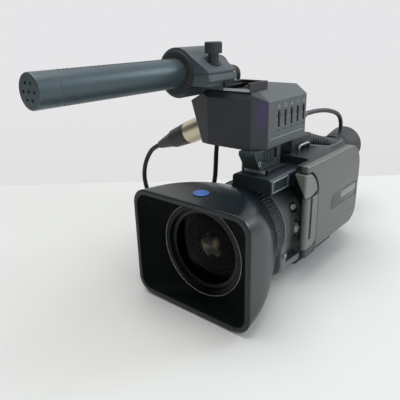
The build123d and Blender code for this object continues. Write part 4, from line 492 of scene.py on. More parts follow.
def grown(name, carrier, tree, values):
    """Run a tree on a carrier mesh or curve, and give back the result as a plain mesh."""
    holder = bpy.data.objects.new(name + "_carrier", carrier)
    bpy.context.scene.collection.objects.link(holder)
    modifier = holder.modifiers.new("grow", "NODES")
    modifier.node_group = tree
    for item in tree.interface.items_tree:
        if item.in_out == "INPUT" and item.name in values:
            modifier[item.identifier] = values[item.name]
    bpy.context.view_layer.update()
    graph = bpy.context.evaluated_depsgraph_get()
    mesh = bpy.data.meshes.new_from_object(holder.evaluated_get(graph), depsgraph=graph)
    mesh.name = name
    bpy.data.objects.remove(holder)
    return mesh


def end_with_copies(tree, end, points, part, aim, size, finish_name):
    """End a tree with copies of a part on its points, made real and given their finish."""
    source = add(tree, "GeometryNodeObjectInfo", None, {"Object": part})
    spread = add(tree, "GeometryNodeInstanceOnPoints", None, {
        "Points": points, "Instance": source.outputs["Geometry"], "Rotation": aim.outputs[0],
        "Scale": size})
    real = add(tree, "GeometryNodeRealizeInstances", None, {0: spread.outputs[0]})
    dressed = add(tree, "GeometryNodeSetMaterial", None,
                  {"Geometry": real.outputs[0], "Material": FINISHES[finish_name]})
    tree.links.new(dressed.outputs[0], end.inputs[0])


def copies_on_points(name, points, facings, part, finish_name):
    """Copies of a small part on points, each turned so that its +Z faces the given way."""
    carrier = bpy.data.meshes.new(name + "_points")
    carrier.from_pydata([tuple(Vector(p) * MM) for p in points], [], [])
    way = carrier.attributes.new("facing", "FLOAT_VECTOR", "POINT")
    for item, facing in zip(way.data, facings):
        item.vector = facing
    model = bpy.data.objects.new(name + "_model", part)
    bpy.context.scene.collection.objects.link(model)
    tree, start, end = node_tree(name, [("Part", "NodeSocketObject", None),
                                        ("Size", "NodeSocketFloat", 1.0)])
    facing_in = add(tree, "GeometryNodeInputNamedAttribute", {"data_type": "FLOAT_VECTOR"},
                    {"Name": "facing"})
    aim = add(tree, "FunctionNodeAlignRotationToVector", {"axis": "Z"}, {"Vector": facing_in.outputs[0]})
    end_with_copies(tree, end, start.outputs["Geometry"], start.outputs["Part"], aim,
                    start.outputs["Size"], finish_name)
    mesh = grown(name, carrier, tree, {"Part": model, "Size": 1.0})
    mesh.materials.clear()
    bpy.data.objects.remove(model)
    return mesh


def seated(node, start, way):
    """Where a straight line from a place in mm meets a node's skin."""
    found, spot, _, _ = NODES[node].ray_cast(Vector(start) * MM, Vector(way))
    if not found:
        raise ValueError(f"nothing of {node} lies ahead of {tuple(start)}")
    return spot / MM


def screw_head(radius, height):
    """A pan head screw with a cross recess, its top along +Z, in mm."""
    work = bmesh.new()
    around = 24
    # half the length and half the width of the cross's arms
    arm, half = 0.62 * radius, 0.14 * radius
    levels = [(radius, 0.0), (radius, 0.45 * height),
              (0.86 * radius, 0.85 * height), (0.66 * radius, height)]
    angles = [2 * pi * k / around for k in range(around)]
    rings = [[work.verts.new((r * cos(a) * MM, r * sin(a) * MM, z * MM)) for a in angles] for r, z in levels]
    for low, high in zip(rings, rings[1:]):
        for k in range(around):
            m = (k + 1) % around
            work.faces.new((low[k], low[m], high[m], high[k]))
    # the cross: twelve corners, each joined to the rim, then sunk
    corners = [(arm, -half), (arm, half), (half, half), (half, arm), (-half, arm), (-half, half),
               (-arm, half), (-arm, -half), (-half, -half), (-half, -arm), (half, -arm), (half, -half)]
    top = [work.verts.new((x * MM, y * MM, height * MM)) for x, y in corners]
    floor = [work.verts.new((x * 0.8 * MM, y * 0.8 * MM, 0.35 * height * MM)) for x, y in corners]
    for k in range(12):
        m = (k + 1) % 12
        work.faces.new((top[k], top[m], floor[m], floor[k]))
        rim = rings[-1]
        a, b = (2 * k - 1) % around, (2 * k + 1) % around
        work.faces.new((rim[a], rim[2 * k], rim[b], top[m], top[k]))
    work.faces.new(floor)
    work.faces.new(list(reversed(rings[0])))
    mesh = bpy.data.meshes.new("screw_head")
    work.to_mesh(mesh)
    work.free()
    return mesh


# ---------------------------------------------------------------- settings
class CamcorderTones(bpy.types.PropertyGroup):
    """The main colours, as sRGB hex."""
    hood: bpy.props.StringProperty(
        name="Hood", description="Colour of the lens hood", default="#08151a")
    barrel: bpy.props.StringProperty(
        name="Barrel", description="Colour of the lens barrel", default="#7b8081")
    body: bpy.props.StringProperty(
        name="Body", description="Colour of the body shell", default="#263036")
    hinge: bpy.props.StringProperty(
        name="Hinge", description="Colour of the hinge block", default="#787a75")
    panel: bpy.props.StringProperty(
        name="Screen panel", description="Colour of the folding panel", default="#5f6461")
    adaptor: bpy.props.StringProperty(
        name="Adaptor", description="Colour of the adaptor's case", default="#2c2f36")
    adaptor_side: bpy.props.StringProperty(
        name="Adaptor side", description="Colour of the adaptor's control side", default="#565d5d")
    microphone: bpy.props.StringProperty(
        name="Microphone", description="Colour of the microphone's tube", default="#4b595e")


class CamcorderSizes(bpy.types.PropertyGroup):
    """The sizes that a user would change, in metres."""
    hood_corner: bpy.props.FloatProperty(
        name="Hood corner", description="Corner radius of the hood's mouth", default=0.012, unit="LENGTH")
    inlay_radius: bpy.props.FloatProperty(
        name="Inlay radius", description="Radius of the round inlay on the hood", default=0.0058,
        unit="LENGTH")
    slot_pitch: bpy.props.FloatProperty(
        name="Slot pitch", description="Spacing of the microphone's slots", default=0.0032, unit="LENGTH")
    stitch_pitch: bpy.props.FloatProperty(
        name="Stitch pitch", description="Spacing of the strap's stitches", default=0.0032, unit="LENGTH")
    screw_radius: bpy.props.FloatProperty(
        name="Screw radius", description="Radius of a small screw's head", default=0.0017, unit="LENGTH")


# ---------------------------------------------------------------- stage
def place_camera(scene):
    """The camera that sees the whole from its front left, and the way that it looks away from."""
    lens = bpy.data.cameras.new("camera")
    lens.sensor_width, lens.lens = 36.0, 40.6
    lens.clip_start, lens.clip_end = 0.02, 20
    eye = bpy.data.objects.new("camera", lens)
    right = Vector((0.76546, 0.643, -0.0249))
    up = Vector((-0.20903, 0.28506, 0.93544))
    back = Vector((0.60859, -0.71083, 0.35261))
    turn = Matrix((right, up, back)).transposed().to_4x4()
    eye.matrix_world = Matrix.Translation((0.18786, -0.33449, 0.19176)) @ turn
    scene.collection.objects.link(eye)
    scene.camera = eye
    return eye, back


def table_finish():
    """White laminate, pressed smooth: faint patches about a third of a metre across, and a dull shine."""
    table, tree, out = blank("White laminate table")
    place = add(tree, "ShaderNodeTexCoord").outputs["Object"]
    cloud = add(tree, "ShaderNodeTexNoise", None, {"Vector": place, "Scale": 3.0, "Detail": 3.0})
    tone = add(tree, "ShaderNodeMix", {"data_type": "RGBA"},
               {0: cloud.outputs[0], FIRST: linear("#dededa"), SECOND: linear("#e3e3de")})
    lit = add(tree, "ShaderNodeBsdfPrincipled", None, {"Base Color": tone.outputs[MIXED], "Roughness": 0.5})
    tree.links.new(lit.outputs[0], out.inputs[0])
    return table


def wall_finish():
    """A white painted wall: plain where light falls on it, and evenly pale where it is seen."""
    wall, tree, out = blank("White wall")
    path = add(tree, "ShaderNodeLightPath")
    seen = path.outputs["Is Camera Ray"]
    for other in ("Is Glossy Ray", "Is Transmission Ray"):
        either = add(tree, "ShaderNodeMath", {"operation": "MAXIMUM"}, {0: seen, 1: path.outputs[other]})
        seen = either.outputs[0]
    place = add(tree, "ShaderNodeTexCoord").outputs["Object"]
    height = add(tree, "ShaderNodeSeparateXYZ", None, {0: place}).outputs["Z"]
    # a little greyer from 0.1 m above the table's height down to 1.2 m below it
    rise = add(tree, "ShaderNodeMapRange", {"interpolation_type": "SMOOTHSTEP"},
               {"Value": height, "From Min": -1.2, "From Max": 0.1})
    paper = add(tree, "ShaderNodeMix", {"data_type": "RGBA"},
                {0: rise.outputs[0], FIRST: linear("#dedddc"), SECOND: linear("#e6e6e8")})
    glow = add(tree, "ShaderNodeEmission", None, {"Color": paper.outputs[MIXED], "Strength": 1.0})
    plain = add(tree, "ShaderNodeBsdfDiffuse", None, {"Color": linear("#e6e6e8")})
    mix = add(tree, "ShaderNodeMixShader", None, {0: seen, 1: plain.outputs[0], 2: glow.outputs[0]})
    tree.links.new(mix.outputs[0], out.inputs[0])
    return wall


def place_table_and_wall(scene, eye, back):
    """The table, which ends a little behind the object, and the wall, which stands well behind it."""
    ahead = Vector((-back.x, -back.y, 0)).normalized()
    aside = Vector((ahead.y, -ahead.x, 0))
    foot = Vector((eye.location.x, eye.location.y, 0))
    near, edge, span, thickness = -1.2, 0.585, 3.0, 0.004
    corners = [foot + ahead * reach + aside * side
               for reach, side in ((near, -span), (near, span), (edge, span), (edge, -span))]
    top = mesh_of("table_top", corners + [c - Vector((0, 0, thickness)) for c in corners],
                  [(0, 1, 2, 3), (7, 6, 5, 4), (3, 2, 6, 7), (0, 4, 5, 1), (1, 5, 6, 2), (0, 3, 7, 4)])
    top.materials.append(table_finish())
    wall_distance = 2.4
    base = foot + ahead * wall_distance
    screen = mesh_of("wall", [base + aside * side + Vector((0, 0, z))
                              for side, z in ((-4, -3), (4, -3), (4, 4), (-4, 4))], [(0, 1, 2, 3)])
    screen.materials.append(wall_finish())
    for mesh in (top, screen):
        piece = bpy.data.objects.new(mesh.name, mesh)
        scene.collection.objects.link(piece)


def light_room(scene):
    """A dim room that is brighter on the right, behind and overhead, and three soft lights."""
    world = bpy.data.worlds.new("Soft room light")
    scene.world = world
    world.use_nodes = True
    tree = world.node_tree
    tree.nodes.clear()
    out = tree.nodes.new("ShaderNodeOutputWorld")
    path = add(tree, "ShaderNodeLightPath")
    way = add(tree, "ShaderNodeTexCoord").outputs["Generated"]
    bright_side = (0.52, 0.5, 0.69)
    toward = add(tree, "ShaderNodeVectorMath", {"operation": "DOT_PRODUCT"}, {0: way, 1: bright_side})
    share = add(tree, "ShaderNodeMapRange", {"interpolation_type": "SMOOTHSTEP"}, {
        "Value": toward.outputs["Value"], "From Min": -0.35, "From Max": 0.9,
        "To Min": 0.08, "To Max": 0.72})
    room = add(tree, "ShaderNodeBackground", None,
               {"Color": linear("#eef2f6"), "Strength": share.outputs[0]})
    seen = add(tree, "ShaderNodeBackground", None, {"Color": linear("#e6e6e8"), "Strength": 1.0})
    mix = add(tree, "ShaderNodeMixShader", None,
              {0: path.outputs["Is Camera Ray"], 1: room.outputs[0], 2: seen.outputs[0]})
    tree.links.new(mix.outputs[0], out.inputs[0])

    # name, place, size in metres, watts, tint; all are aimed at the middle of the object
    middle = Vector((0, -0.02, 0.08))
    for name, spot, size, power, tint in (
            ("window_light", (0.62, 1.0, 0.72), 0.55, 5.0, "#eef5ff"),
            ("side_light", (1.3, -0.1, 0.8), 0.8, 3.2, "#f3f7ff"),
            ("ceiling_light", (-0.25, -0.15, 1.6), 1.4, 19.5, "#ffffff")):
        data = bpy.data.lights.new(name, "AREA")
        data.size, data.energy, data.color = size, power, linear(tint)[:3]
        lamp = bpy.data.objects.new(name, data)
        lamp.location = spot
        lamp.rotation_mode = "QUATERNION"
        lamp.rotation_quaternion = (middle - Vector(spot)).to_track_quat("-Z", "Y")
        scene.collection.objects.link(lamp)


class CAMCORDER_OT_stage(bpy.types.Operator):
    """Add the camera, the table, the wall and the soft lights"""
    bl_idname = "camcorder.stage"
    bl_label = "Stage"

    def execute(self, context):
        scene = context.scene
        scene.view_settings.view_transform = "Standard"
        eye, back = place_camera(scene)
        place_table_and_wall(scene, eye, back)
        light_room(scene)
        return {"FINISHED"}


# ---------------------------------------------------------------- finishes
class CAMCORDER_OT_finishes(bpy.types.Operator):
    """Make every finish once, from the main colours"""
    bl_idname = "camcorder.finishes"
    bl_label = "Finishes"

    def execute(self, context):
        tones = context.scene.camcorder_tones
        make_lens_finishes(tones)
        make_body_finishes(tones)
        make_audio_finishes(tones)
        return {"FINISHED"}


# ---------------------------------------------------------------- cords
def cord_curve(name, route, diameter, finish_name):
    """A smooth round cord through a route of control points, in metres."""
    curve = bpy.data.curves.new(name, "CURVE")
    curve.dimensions = "3D"
    curve.bevel_depth = diameter / 2
    curve.bevel_resolution = 6
    curve.use_fill_caps = True
    curve.resolution_u = 10
    spline = curve.splines.new("NURBS")
    spline.points.add(len(route) - 1)
    for point, place in zip(spline.points, route):
        point.co = (*place, 1.0)
    spline.order_u = 3
    spline.use_endpoint_u = True
    curve.materials.append(FINISHES[finish_name])
    piece = bpy.data.objects.new(name, curve)
    bpy.context.scene.collection.objects.link(piece)
    return piece


class CAMCORDER_OT_cords(bpy.types.Operator):
    """Add the microphone's cable and the adaptor's cable"""
    bl_idname = "camcorder.cords"
    bl_label = "Cables"

    def execute(self, context):
        route = [
            (-0.0448, -0.0260, 0.1626), (-0.0448, -0.0140, 0.1626), (-0.0490, -0.0010, 0.1570),
            (-0.0550, 0.0045, 0.1450), (-0.0600, 0.0025, 0.1310), (-0.0632, -0.0040, 0.1175),
            (-0.0644, -0.0105, 0.1035), (-0.0630, -0.0165, 0.0895), (-0.0598, -0.0215, 0.0760),
            (-0.0584, -0.0250, 0.0620), (-0.0605, -0.0280, 0.0480), (-0.0685, -0.0315, 0.0360),
            (-0.0820, -0.0370, 0.0295), (-0.0975, -0.0435, 0.0290), (-0.1110, -0.0490, 0.0340),
            (-0.1200, -0.0520, 0.0445), (-0.1240, -0.0525, 0.0580), (-0.1225, -0.0520, 0.0715),
            (-0.1172, -0.0513, 0.0825), (-0.10985, -0.0510, 0.09092), (-0.10021, -0.0510, 0.09508),
        ]
        cable = cord_curve("mic_lead", route, 0.0042, "cable")
        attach(cable, BODY)
        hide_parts("mic_cable")
        route = [
            (0.0120, 0.0060, 0.1245), (0.0120, 0.0220, 0.1245), (0.0125, 0.0385, 0.1233),
            (0.0130, 0.0545, 0.1206), (0.0134, 0.0690, 0.1162), (0.0138, 0.0763, 0.1103),
            (0.0141, 0.0783, 0.1011), (0.0144, 0.0740, 0.0927), (0.01458, 0.06536, 0.08886),
            (0.01376, 0.05633, 0.09133),
        ]
        cable = cord_curve("adaptor_lead", route, 0.0038, "cable")
        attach(cable, BODY)
        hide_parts("adaptor_cable")
        return {"FINISHED"}


# ---------------------------------------------------------------- finishes on the CAD pieces
class CAMCORDER_OT_shells(bpy.types.Operator):
    """Give every carried-over piece its finish"""
    bl_idname = "camcorder.shells"
    bl_label = "Carried-over pieces"

    def execute(self, context):
        for node, kind in NODE_FINISH.items():
            mesh = NODES[node].data
            mesh.materials.clear()
            mesh.materials.append(FINISHES[kind])
        return {"FINISHED"}


# ---------------------------------------------------------------- lens hood
def hood_section(half_w, half_h, radius, centre_z, y, around):
    """One ring of the hood: a rectangle with round corners, its points spread by angle."""
    ring = []
    radius = min(radius, half_w - 1e-6, half_h - 1e-6)
    for k in range(around):
        angle = 2 * pi * (k + 0.5) / around
        cx, cz = abs(cos(angle)), abs(sin(angle))
        reach = min(half_w / cx, half_h / cz)
        x, z = reach * cx, reach * cz
        corner_x, corner_z = half_w - radius, half_h - radius
        if x > corner_x and z > corner_z:
            # where the ray meets the corner's arc
            along = corner_x * cx + corner_z * cz
            reach = along + (radius ** 2 - corner_x ** 2 - corner_z ** 2 + along ** 2) ** 0.5
            x, z = reach * cx, reach * cz
        ring.append((x * (1 if cos(angle) > 0 else -1), y, centre_z + z * (1 if sin(angle) > 0 else -1)))
    return ring


def between(stations, y):
    """Smoothly interpolated section values at y, from rows of (y, values...)."""
    for index in range(len(stations) - 1):
        if y <= stations[index + 1][0] + 1e-9:
            break
    a, b = stations[index], stations[index + 1]
    before = stations[max(index - 1, 0)]
    after = stations[min(index + 2, len(stations) - 1)]
    span = b[0] - a[0]
    t = (y - a[0]) / span
    values = []
    for i in range(1, len(a)):
        slope_a = (b[i] - before[i]) / (b[0] - before[0]) * span
        slope_b = (after[i] - a[i]) / (after[0] - a[0]) * span
        values.append((2 * t ** 3 - 3 * t ** 2 + 1) * a[i] + (t ** 3 - 2 * t ** 2 + t) * slope_a
                      + (3 * t ** 2 - 2 * t ** 3) * b[i] + (t ** 3 - t ** 2) * slope_b)
    return values


class CAMCORDER_OT_hood(bpy.types.Operator):
    """Add the lens hood with its matt funnel and its round inlay"""
    bl_idname = "camcorder.hood"
    bl_label = "Lens hood"

    def execute(self, context):
        sizes = context.scene.camcorder_sizes
        low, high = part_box("lens_hood")
        front, rear = low.y / MM, high.y / MM
        corner = sizes.hood_corner / MM
        # y, half width, half height, corner radius, middle height
        outer = [
            (front, 51.8, 42.2, corner, LENS_Z),
            (front + 17, 51.0, 42.6, corner + 7, LENS_Z + 0.1),
            (front + 27, 49.6, 42.7, 26, LENS_Z + 0.6),
            (front + 37, 46.4, 42.3, 34, LENS_Z + 0.9),
            (front + 47, 42.0, 40.6, 38, LENS_Z + 0.5),
            (rear, 37.4, 37.4, 37.3, LENS_Z),
        ]
        around = 240
        rings, kinds = [], []

        def ring(half_w, half_h, radius, centre_z, y, kind):
            rings.extend(hood_section(half_w, half_h, radius, centre_z, y, around))
            kinds.append(kind)

        steps = 30
        for i in range(steps, 0, -1):
            y = front + 0.8 + (rear - front - 0.8) * i / steps
            ring(*between(outer, y), y, 0)
        # rounded lip, over and in
        for back, inset in ((0.8, 0.0), (0.35, 0.12), (0.1, 0.4), (0.0, 0.8)):
            values = between(outer, front + back)
            ring(values[0] - inset, values[1] - inset, values[2] - inset, values[3], front + back, 0)
        # the flat front of the rim, and its inner edge
        rim = 4.3
        for back, inset in ((0.0, rim - 0.7), (0.2, rim - 0.2), (0.8, rim)):
            values = outer[0]
            ring(values[1] - inset, values[2] - inset, values[3] - inset + 1, LENS_Z, front + back, 1)
        # the funnel narrows from the mouth to a round bore; y, half width, half height, corner radius
        funnel = [(front + 4.5, 44.2, 37.2, 14), (front + 9, 40.4, 36.4, 22),
                  (front + 12.5, 37.4, 35.8, 30), (front + 15, 35.55, 35.5, 35.3)]
        for y, half_w, half_h, radius in funnel:
            ring(half_w, half_h, radius, LENS_Z, y, 1)
        # the bore ends on a step, and a narrower one goes through to the rear
        bore, throat, step_y = 35.4, 30.3, front + 24.3
        for radius, y in ((bore, step_y), (throat, step_y), (throat, rear)):
            ring(radius, radius, radius, LENS_Z, y, 1)
        points = [Vector(p) * MM for p in rings]
        faces, numbers = ring_faces(len(kinds), around, True, kinds)
        put("hood_shell", mesh_of("hood_shell", points, faces, numbers), BODY,
            ("hood", "funnel"), ("lens_hood",), 38)

        # bare round inlay on the crown
        radius = sizes.inlay_radius / MM
        spot = Vector((-1.4, -112.2, 86.75))
        profile = [(radius, 0.0), (radius, 0.25), (radius - 0.25, 0.45), (radius - 0.6, 0.42),
                   (0.5 * radius, 0.5), (0.02, 0.52), (0.02, 0.0)]
        turns = [2 * pi * k / 48 for k in range(48)]
        inlay = [((spot.x + r * cos(turn)) * MM, (spot.y + r * sin(turn)) * MM, (spot.z + z) * MM)
                 for r, z in profile for turn in turns]
        faces, _ = ring_faces(len(profile), len(turns), True)
        put("hood_inlay", mesh_of("hood_inlay", inlay, faces), BODY, ("blue",))
        return {"FINISHED"}


# ---------------------------------------------------------------- glass inside the lens
def hoop(radius, y, wire, sides, around=96):
    """A round wire bent into a hoop about the lens's axis, in mm."""
    turns = [2 * pi * k / sides for k in range(sides)]
    section = [(radius + wire * cos(turn), y + wire * sin(turn)) for turn in turns]
    return turned("hoop", section, (0.0, LENS_Z), around)


def barrel_front():
    """Where the barrel's skin starts, half a millimetre behind the focus ring, in mm."""
    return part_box("focus_ring")[1].y / MM + 0.5


class CAMCORDER_OT_optics(bpy.types.Operator):
    """Add the front glass, the coated element behind it, their rings and the fine pale lines of painted
    highlight
    """
    bl_idname = "camcorder.optics"
    bl_label = "Lens elements"

    def execute(self, context):
        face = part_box("inner_lens")[0].y / MM
        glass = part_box("front_lens")
        centre = (0.0, LENS_Z)
        # the front glass: a shallow dome in front, a shallower hollow behind
        rim, front_y, rear_y = glass[1].x / MM, glass[0].y / MM, glass[1].y / MM
        bulge, hollow = 3.4, 2.0
        front_ball = (rim ** 2 + bulge ** 2) / (2 * bulge)
        rear_ball = (rim ** 2 + hollow ** 2) / (2 * hollow)
        radii = [max(rim * k / 26, 0.02) for k in range(27)]
        outline = [(r, front_y + front_ball - (front_ball ** 2 - r ** 2) ** 0.5) for r in radii]
        outline += [(r, rear_y - hollow + rear_ball - (rear_ball ** 2 - r ** 2) ** 0.5)
                    for r in reversed(radii)]
        put("front_glass", turned("front_glass", outline, centre, 128), BODY, ("glass",),
            ("front_lens",), 30)
        # the inner element: a steep dome, flat behind
        edge, rise, dome = 9.4, 3.6, []
        for i in range(13):
            share = i / 12
            radius = edge * cos(share * pi / 2 * 0.98)
            dome.append((max(radius, 0.02), rear_y + 4.2 - rise * sin(share * pi / 2)))
        dome += [(0.02, rear_y + 4.5), (edge, rear_y + 4.5)]
        put("inner_element", turned("inner_element", dome, centre, 64), BODY, ("element",))
        rings = [hoop(radius, y, 0.3, 10)
                 for radius, y in ((10.0, rear_y + 4.4), (20.6, face + 1.2), (15.4, face + 3.4))]
        # painted highlights: fine pale lines on the mouth of the filter ring and round the glass
        ring_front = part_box("filter_ring")[0].y / MM
        lines = [hoop(radius, y, wire, 8, 144)
                 for radius, y, wire in ((34.85, ring_front - 0.05, 0.22), (28.4, front_y + 2.6, 0.2))]
        put("filter_ring_lines", joined("filter_ring_lines", lines), BODY, ("ring_highlight",))
        put("retaining_rings", joined("retaining_rings", rings), BODY, ("anodised",))
        # the painted highlight line starts just below the +X side and goes over the top, most of the way
        # round
        start, inside, outside = barrel_front(), BARREL_RADIUS + 0.02, BARREL_RADIUS + 0.16
        section = [(inside, 0.9), (outside, 0.9), (outside, 1.7), (inside, 1.7)]
        turns = [radians(-16 + 314 * k / 150) for k in range(151)]
        points = [(radius * cos(turn) * MM, (start + y) * MM, (LENS_Z + radius * sin(turn)) * MM)
                  for turn in turns for radius, y in section]
        faces, _ = ring_faces(len(turns), 4, False)
        last = 4 * (len(turns) - 1)
        faces += [(0, 1, 2, 3), (last, last + 1, last + 2, last + 3)]
        put("barrel_line", mesh_of("barrel_line", points, faces), BODY, ("barrel_highlight",))
        return {"FINISHED"}


# ---------------------------------------------------------------- marks and trim on the barrel and body
def on_barrel(y, angle, lift):
    """A place on the barrel's tapered skin; y and lift in mm, angle in degrees above level."""
    radius = BARREL_RADIUS - BARREL_TAPER * (y - barrel_front()) / BARREL_LENGTH + lift
    out = Vector((cos(radians(angle)), 0, sin(radians(angle))))
    return Vector((0, y, LENS_Z)) + out * radius


def barrel_pad(y, angle, along, across, lift=0.12, sink=0.4):
    """A thin pad on the barrel's skin, in mm."""
    place = on_barrel(y, angle, 0)
    low = Vector((-sink, -along / 2, -across / 2)) + place
    high = Vector((lift, along / 2, across / 2)) + place
    turn = Matrix.Rotation(-radians(angle), 4, "Y")
    return soft_box(low, high, min(0.12, (lift + sink) * 0.3), turn, place)


def barrel_frame(y, angle, along, across, width, lift=0.14, square=0.6):
    """A thin oval frame bent to the barrel's skin; along is the half length, across the half width, mm."""
    points, around = [], 40
    for grow, rise in ((0, -0.4), (0, lift), (width, lift), (width, -0.4)):
        for k in range(around):
            turn = 2 * pi * k / around
            # an oval, squarer as its exponent falls
            u = (along + grow) * (abs(cos(turn)) ** square) * (1 if cos(turn) > 0 else -1)
            v = (across + grow) * (abs(sin(turn)) ** square) * (1 if sin(turn) > 0 else -1)
            points.append(on_barrel(y + u, angle + degrees(v / BARREL_MIDDLE), rise) * MM)
    faces, _ = ring_faces(4, around, True)
    return mesh_of("barrel_frame", points, faces)


def border(xs, ys, zs, width, radius):
    """Four rounded bars along the edges of an upright rectangle that faces sideways, in mm."""
    rows = ((ys, (zs[0], zs[0] + width)), (ys, (zs[1] - width, zs[1])),
            ((ys[0], ys[0] + width), zs), ((ys[1] - width, ys[1]), zs))
    return [soft_box((xs[0], y[0], z[0]), (xs[1], y[1], z[1]), radius) for y, z in rows]


class CAMCORDER_OT_trim(bpy.types.Operator):
    """Add the printed marks, the shoulder plate, the bright strips and the panel's window"""
    bl_idname = "camcorder.trim"
    bl_label = "Trim"

    def execute(self, context):
        spots = []
        for low, high in (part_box("nd_switch"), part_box("focus_button")):
            middle = (low + high) / 2 / MM
            spots.append((middle.y, degrees(asin(min(1, (middle.z - LENS_Z) / BARREL_MIDDLE)))))
        (nd_y, nd_angle), (push_y, push_angle) = spots
        ticks = [barrel_pad(nd_y - 5.9, nd_angle + turn, 1.8, 0.5) for turn in (-11, -5.5, 0, 5.5, 11)]
        ticks.append(barrel_frame(nd_y, nd_angle, 3.8, 8.9, 0.5, square=0.22))
        put("barrel_marks", joined("barrel_marks", ticks), BODY, ("mark",))
        surround = barrel_frame(push_y, push_angle, 3.9, 2.7, 1.1, 0.35)
        put("button_surround", surround, BODY, ("black",))
        # a bare plate on the shoulder, with a pale border
        plate = [soft_box((28.8, -68.6, 80.6), (29.3, -47.2, 88.2), 0.18)]
        plate += [numbered(bar, 1) for bar in border((28.8, 29.45), (-69.0, -46.8), (80.0, 88.8), 0.6, 0.12)]
        put("shoulder_plate", joined("shoulder_plate", plate), BODY, ("badge", "mark"))
        # two bare bright strips that face forward, one low and one high
        strips = [soft_box((0.2, -63.0, 90.75), (18.8, -62.62, 93.9), 0.12),
                  soft_box((-14.9, -68.5, 150.3), (7.7, -68.12, 152.2), 0.12)]
        put("shoe_strips", joined("shoe_strips", strips), BODY, ("bare_edge",))
        # window on the panel: a frame, a dark field, a lighter bar and a plain strip, all bare
        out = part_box("lcd_cover")[1].x / MM
        y_low, y_high, z_low, z_high = -8.0, 46.0, 50.0, 63.0
        window = border((out - 0.6, out - 0.02), (y_low, y_high), (z_low, z_high), 0.7, 0.15)
        # finish, depth below the cover's face, lower and upper corner (y, z), edge radius
        for kind, depth, start, end, radius in ((1, 0.42, (y_low, z_low), (12.5, z_high), 0.08),
                                                (2, 0.25, (13.5, 56.0), (45.0, 61.5), 0.15),
                                                (0, 0.35, (13.5, 51.0), (45.0, 55.2), 0.1)):
            window.append(numbered(soft_box((out - 0.6, *start), (out - depth, *end), radius), kind))
        put("panel_window", joined("panel_window", window), "lcd_swing",
            ("panel", "groove", "bar"))
        # the column's long groove is lined darker; it starts 2 mm behind the hinge pins
        low, high = (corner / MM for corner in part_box("lcd_column"))
        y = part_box("lcd_pins")[1].y / MM + 2.0
        lining = soft_box((high.x - 1.38, y, low.z + 7.3), (high.x - 0.9, y + 3.6, high.z - 0.3), 0.15)
        put("column_groove", lining, "lcd_swing", ("groove",))
        return {"FINISHED"}


class CAMCORDER_OT_adaptor(bpy.types.Operator):
    """Add the adaptor's slot linings, its printed marks and line, and the pedestal's mark"""
    bl_idname = "camcorder.adaptor"
    bl_label = "Adaptor details"

    def execute(self, context):
        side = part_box("adaptor_side")[1].x / MM
        linings, marks = [], []
        for number in range(1, 6):
            low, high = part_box(f"adaptor_switch_{number}")
            y = (low.y + high.y) / 2 / MM
            top = high.z / MM
            # painted shade: a near black lining sunk in each slot
            linings.append(soft_box((side - 2.38, y - 1.45, top - 12.1),
                                    (side - 2.15, y + 1.45, top + 0.1), 0.08))
            # two short ticks above the slot, three beside it and a dark one below
            for k in range(2):
                marks.append(soft_box((side - 0.2, y - 1.5 + 0.2 * k, top + 2.6 + 1.5 * k),
                                      (side + 0.05, y + 1.5 - 0.9 * k, top + 3.1 + 1.5 * k), 0.06))
            for z in (top - 1.4, top - 6.2, top - 11.0):
                marks.append(soft_box((side - 0.2, y - 3.6, z), (side + 0.05, y - 2.2, z + 0.45), 0.06))
            linings.append(soft_box((side - 0.2, y - 2.1, top - 14.6),
                                    (side + 0.03, y + 2.1, top - 13.9), 0.06))
        put("slot_linings", joined("slot_linings", linings), BODY, ("slot",))
        marks.append(soft_box((side - 0.2, -54.5, 115.2), (side + 0.06, -5.5, 115.65), 0.08))
        put("adaptor_marks", joined("adaptor_marks", marks), BODY, ("mark",))
        # a small printed ring low on the pedestal, half sunk in its side
        x, y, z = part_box("pedestal")[1].x / MM - 2.0, -67.0, 99.4
        middle, wire = 1.5, 0.25
        section = [(middle + wire * cos(2 * pi * k / 8), wire * sin(2 * pi * k / 8)) for k in range(8)]
        turns = [2 * pi * k / 32 for k in range(32)]
        points = [((x + lift) * MM, (y + radius * cos(turn)) * MM, (z + radius * sin(turn)) * MM)
                  for radius, lift in section for turn in turns]
        faces, _ = ring_faces(len(section), len(turns), True)
        put("pedestal_mark", mesh_of("pedestal_mark", points, faces), BODY, ("mark",))
        return {"FINISHED"}


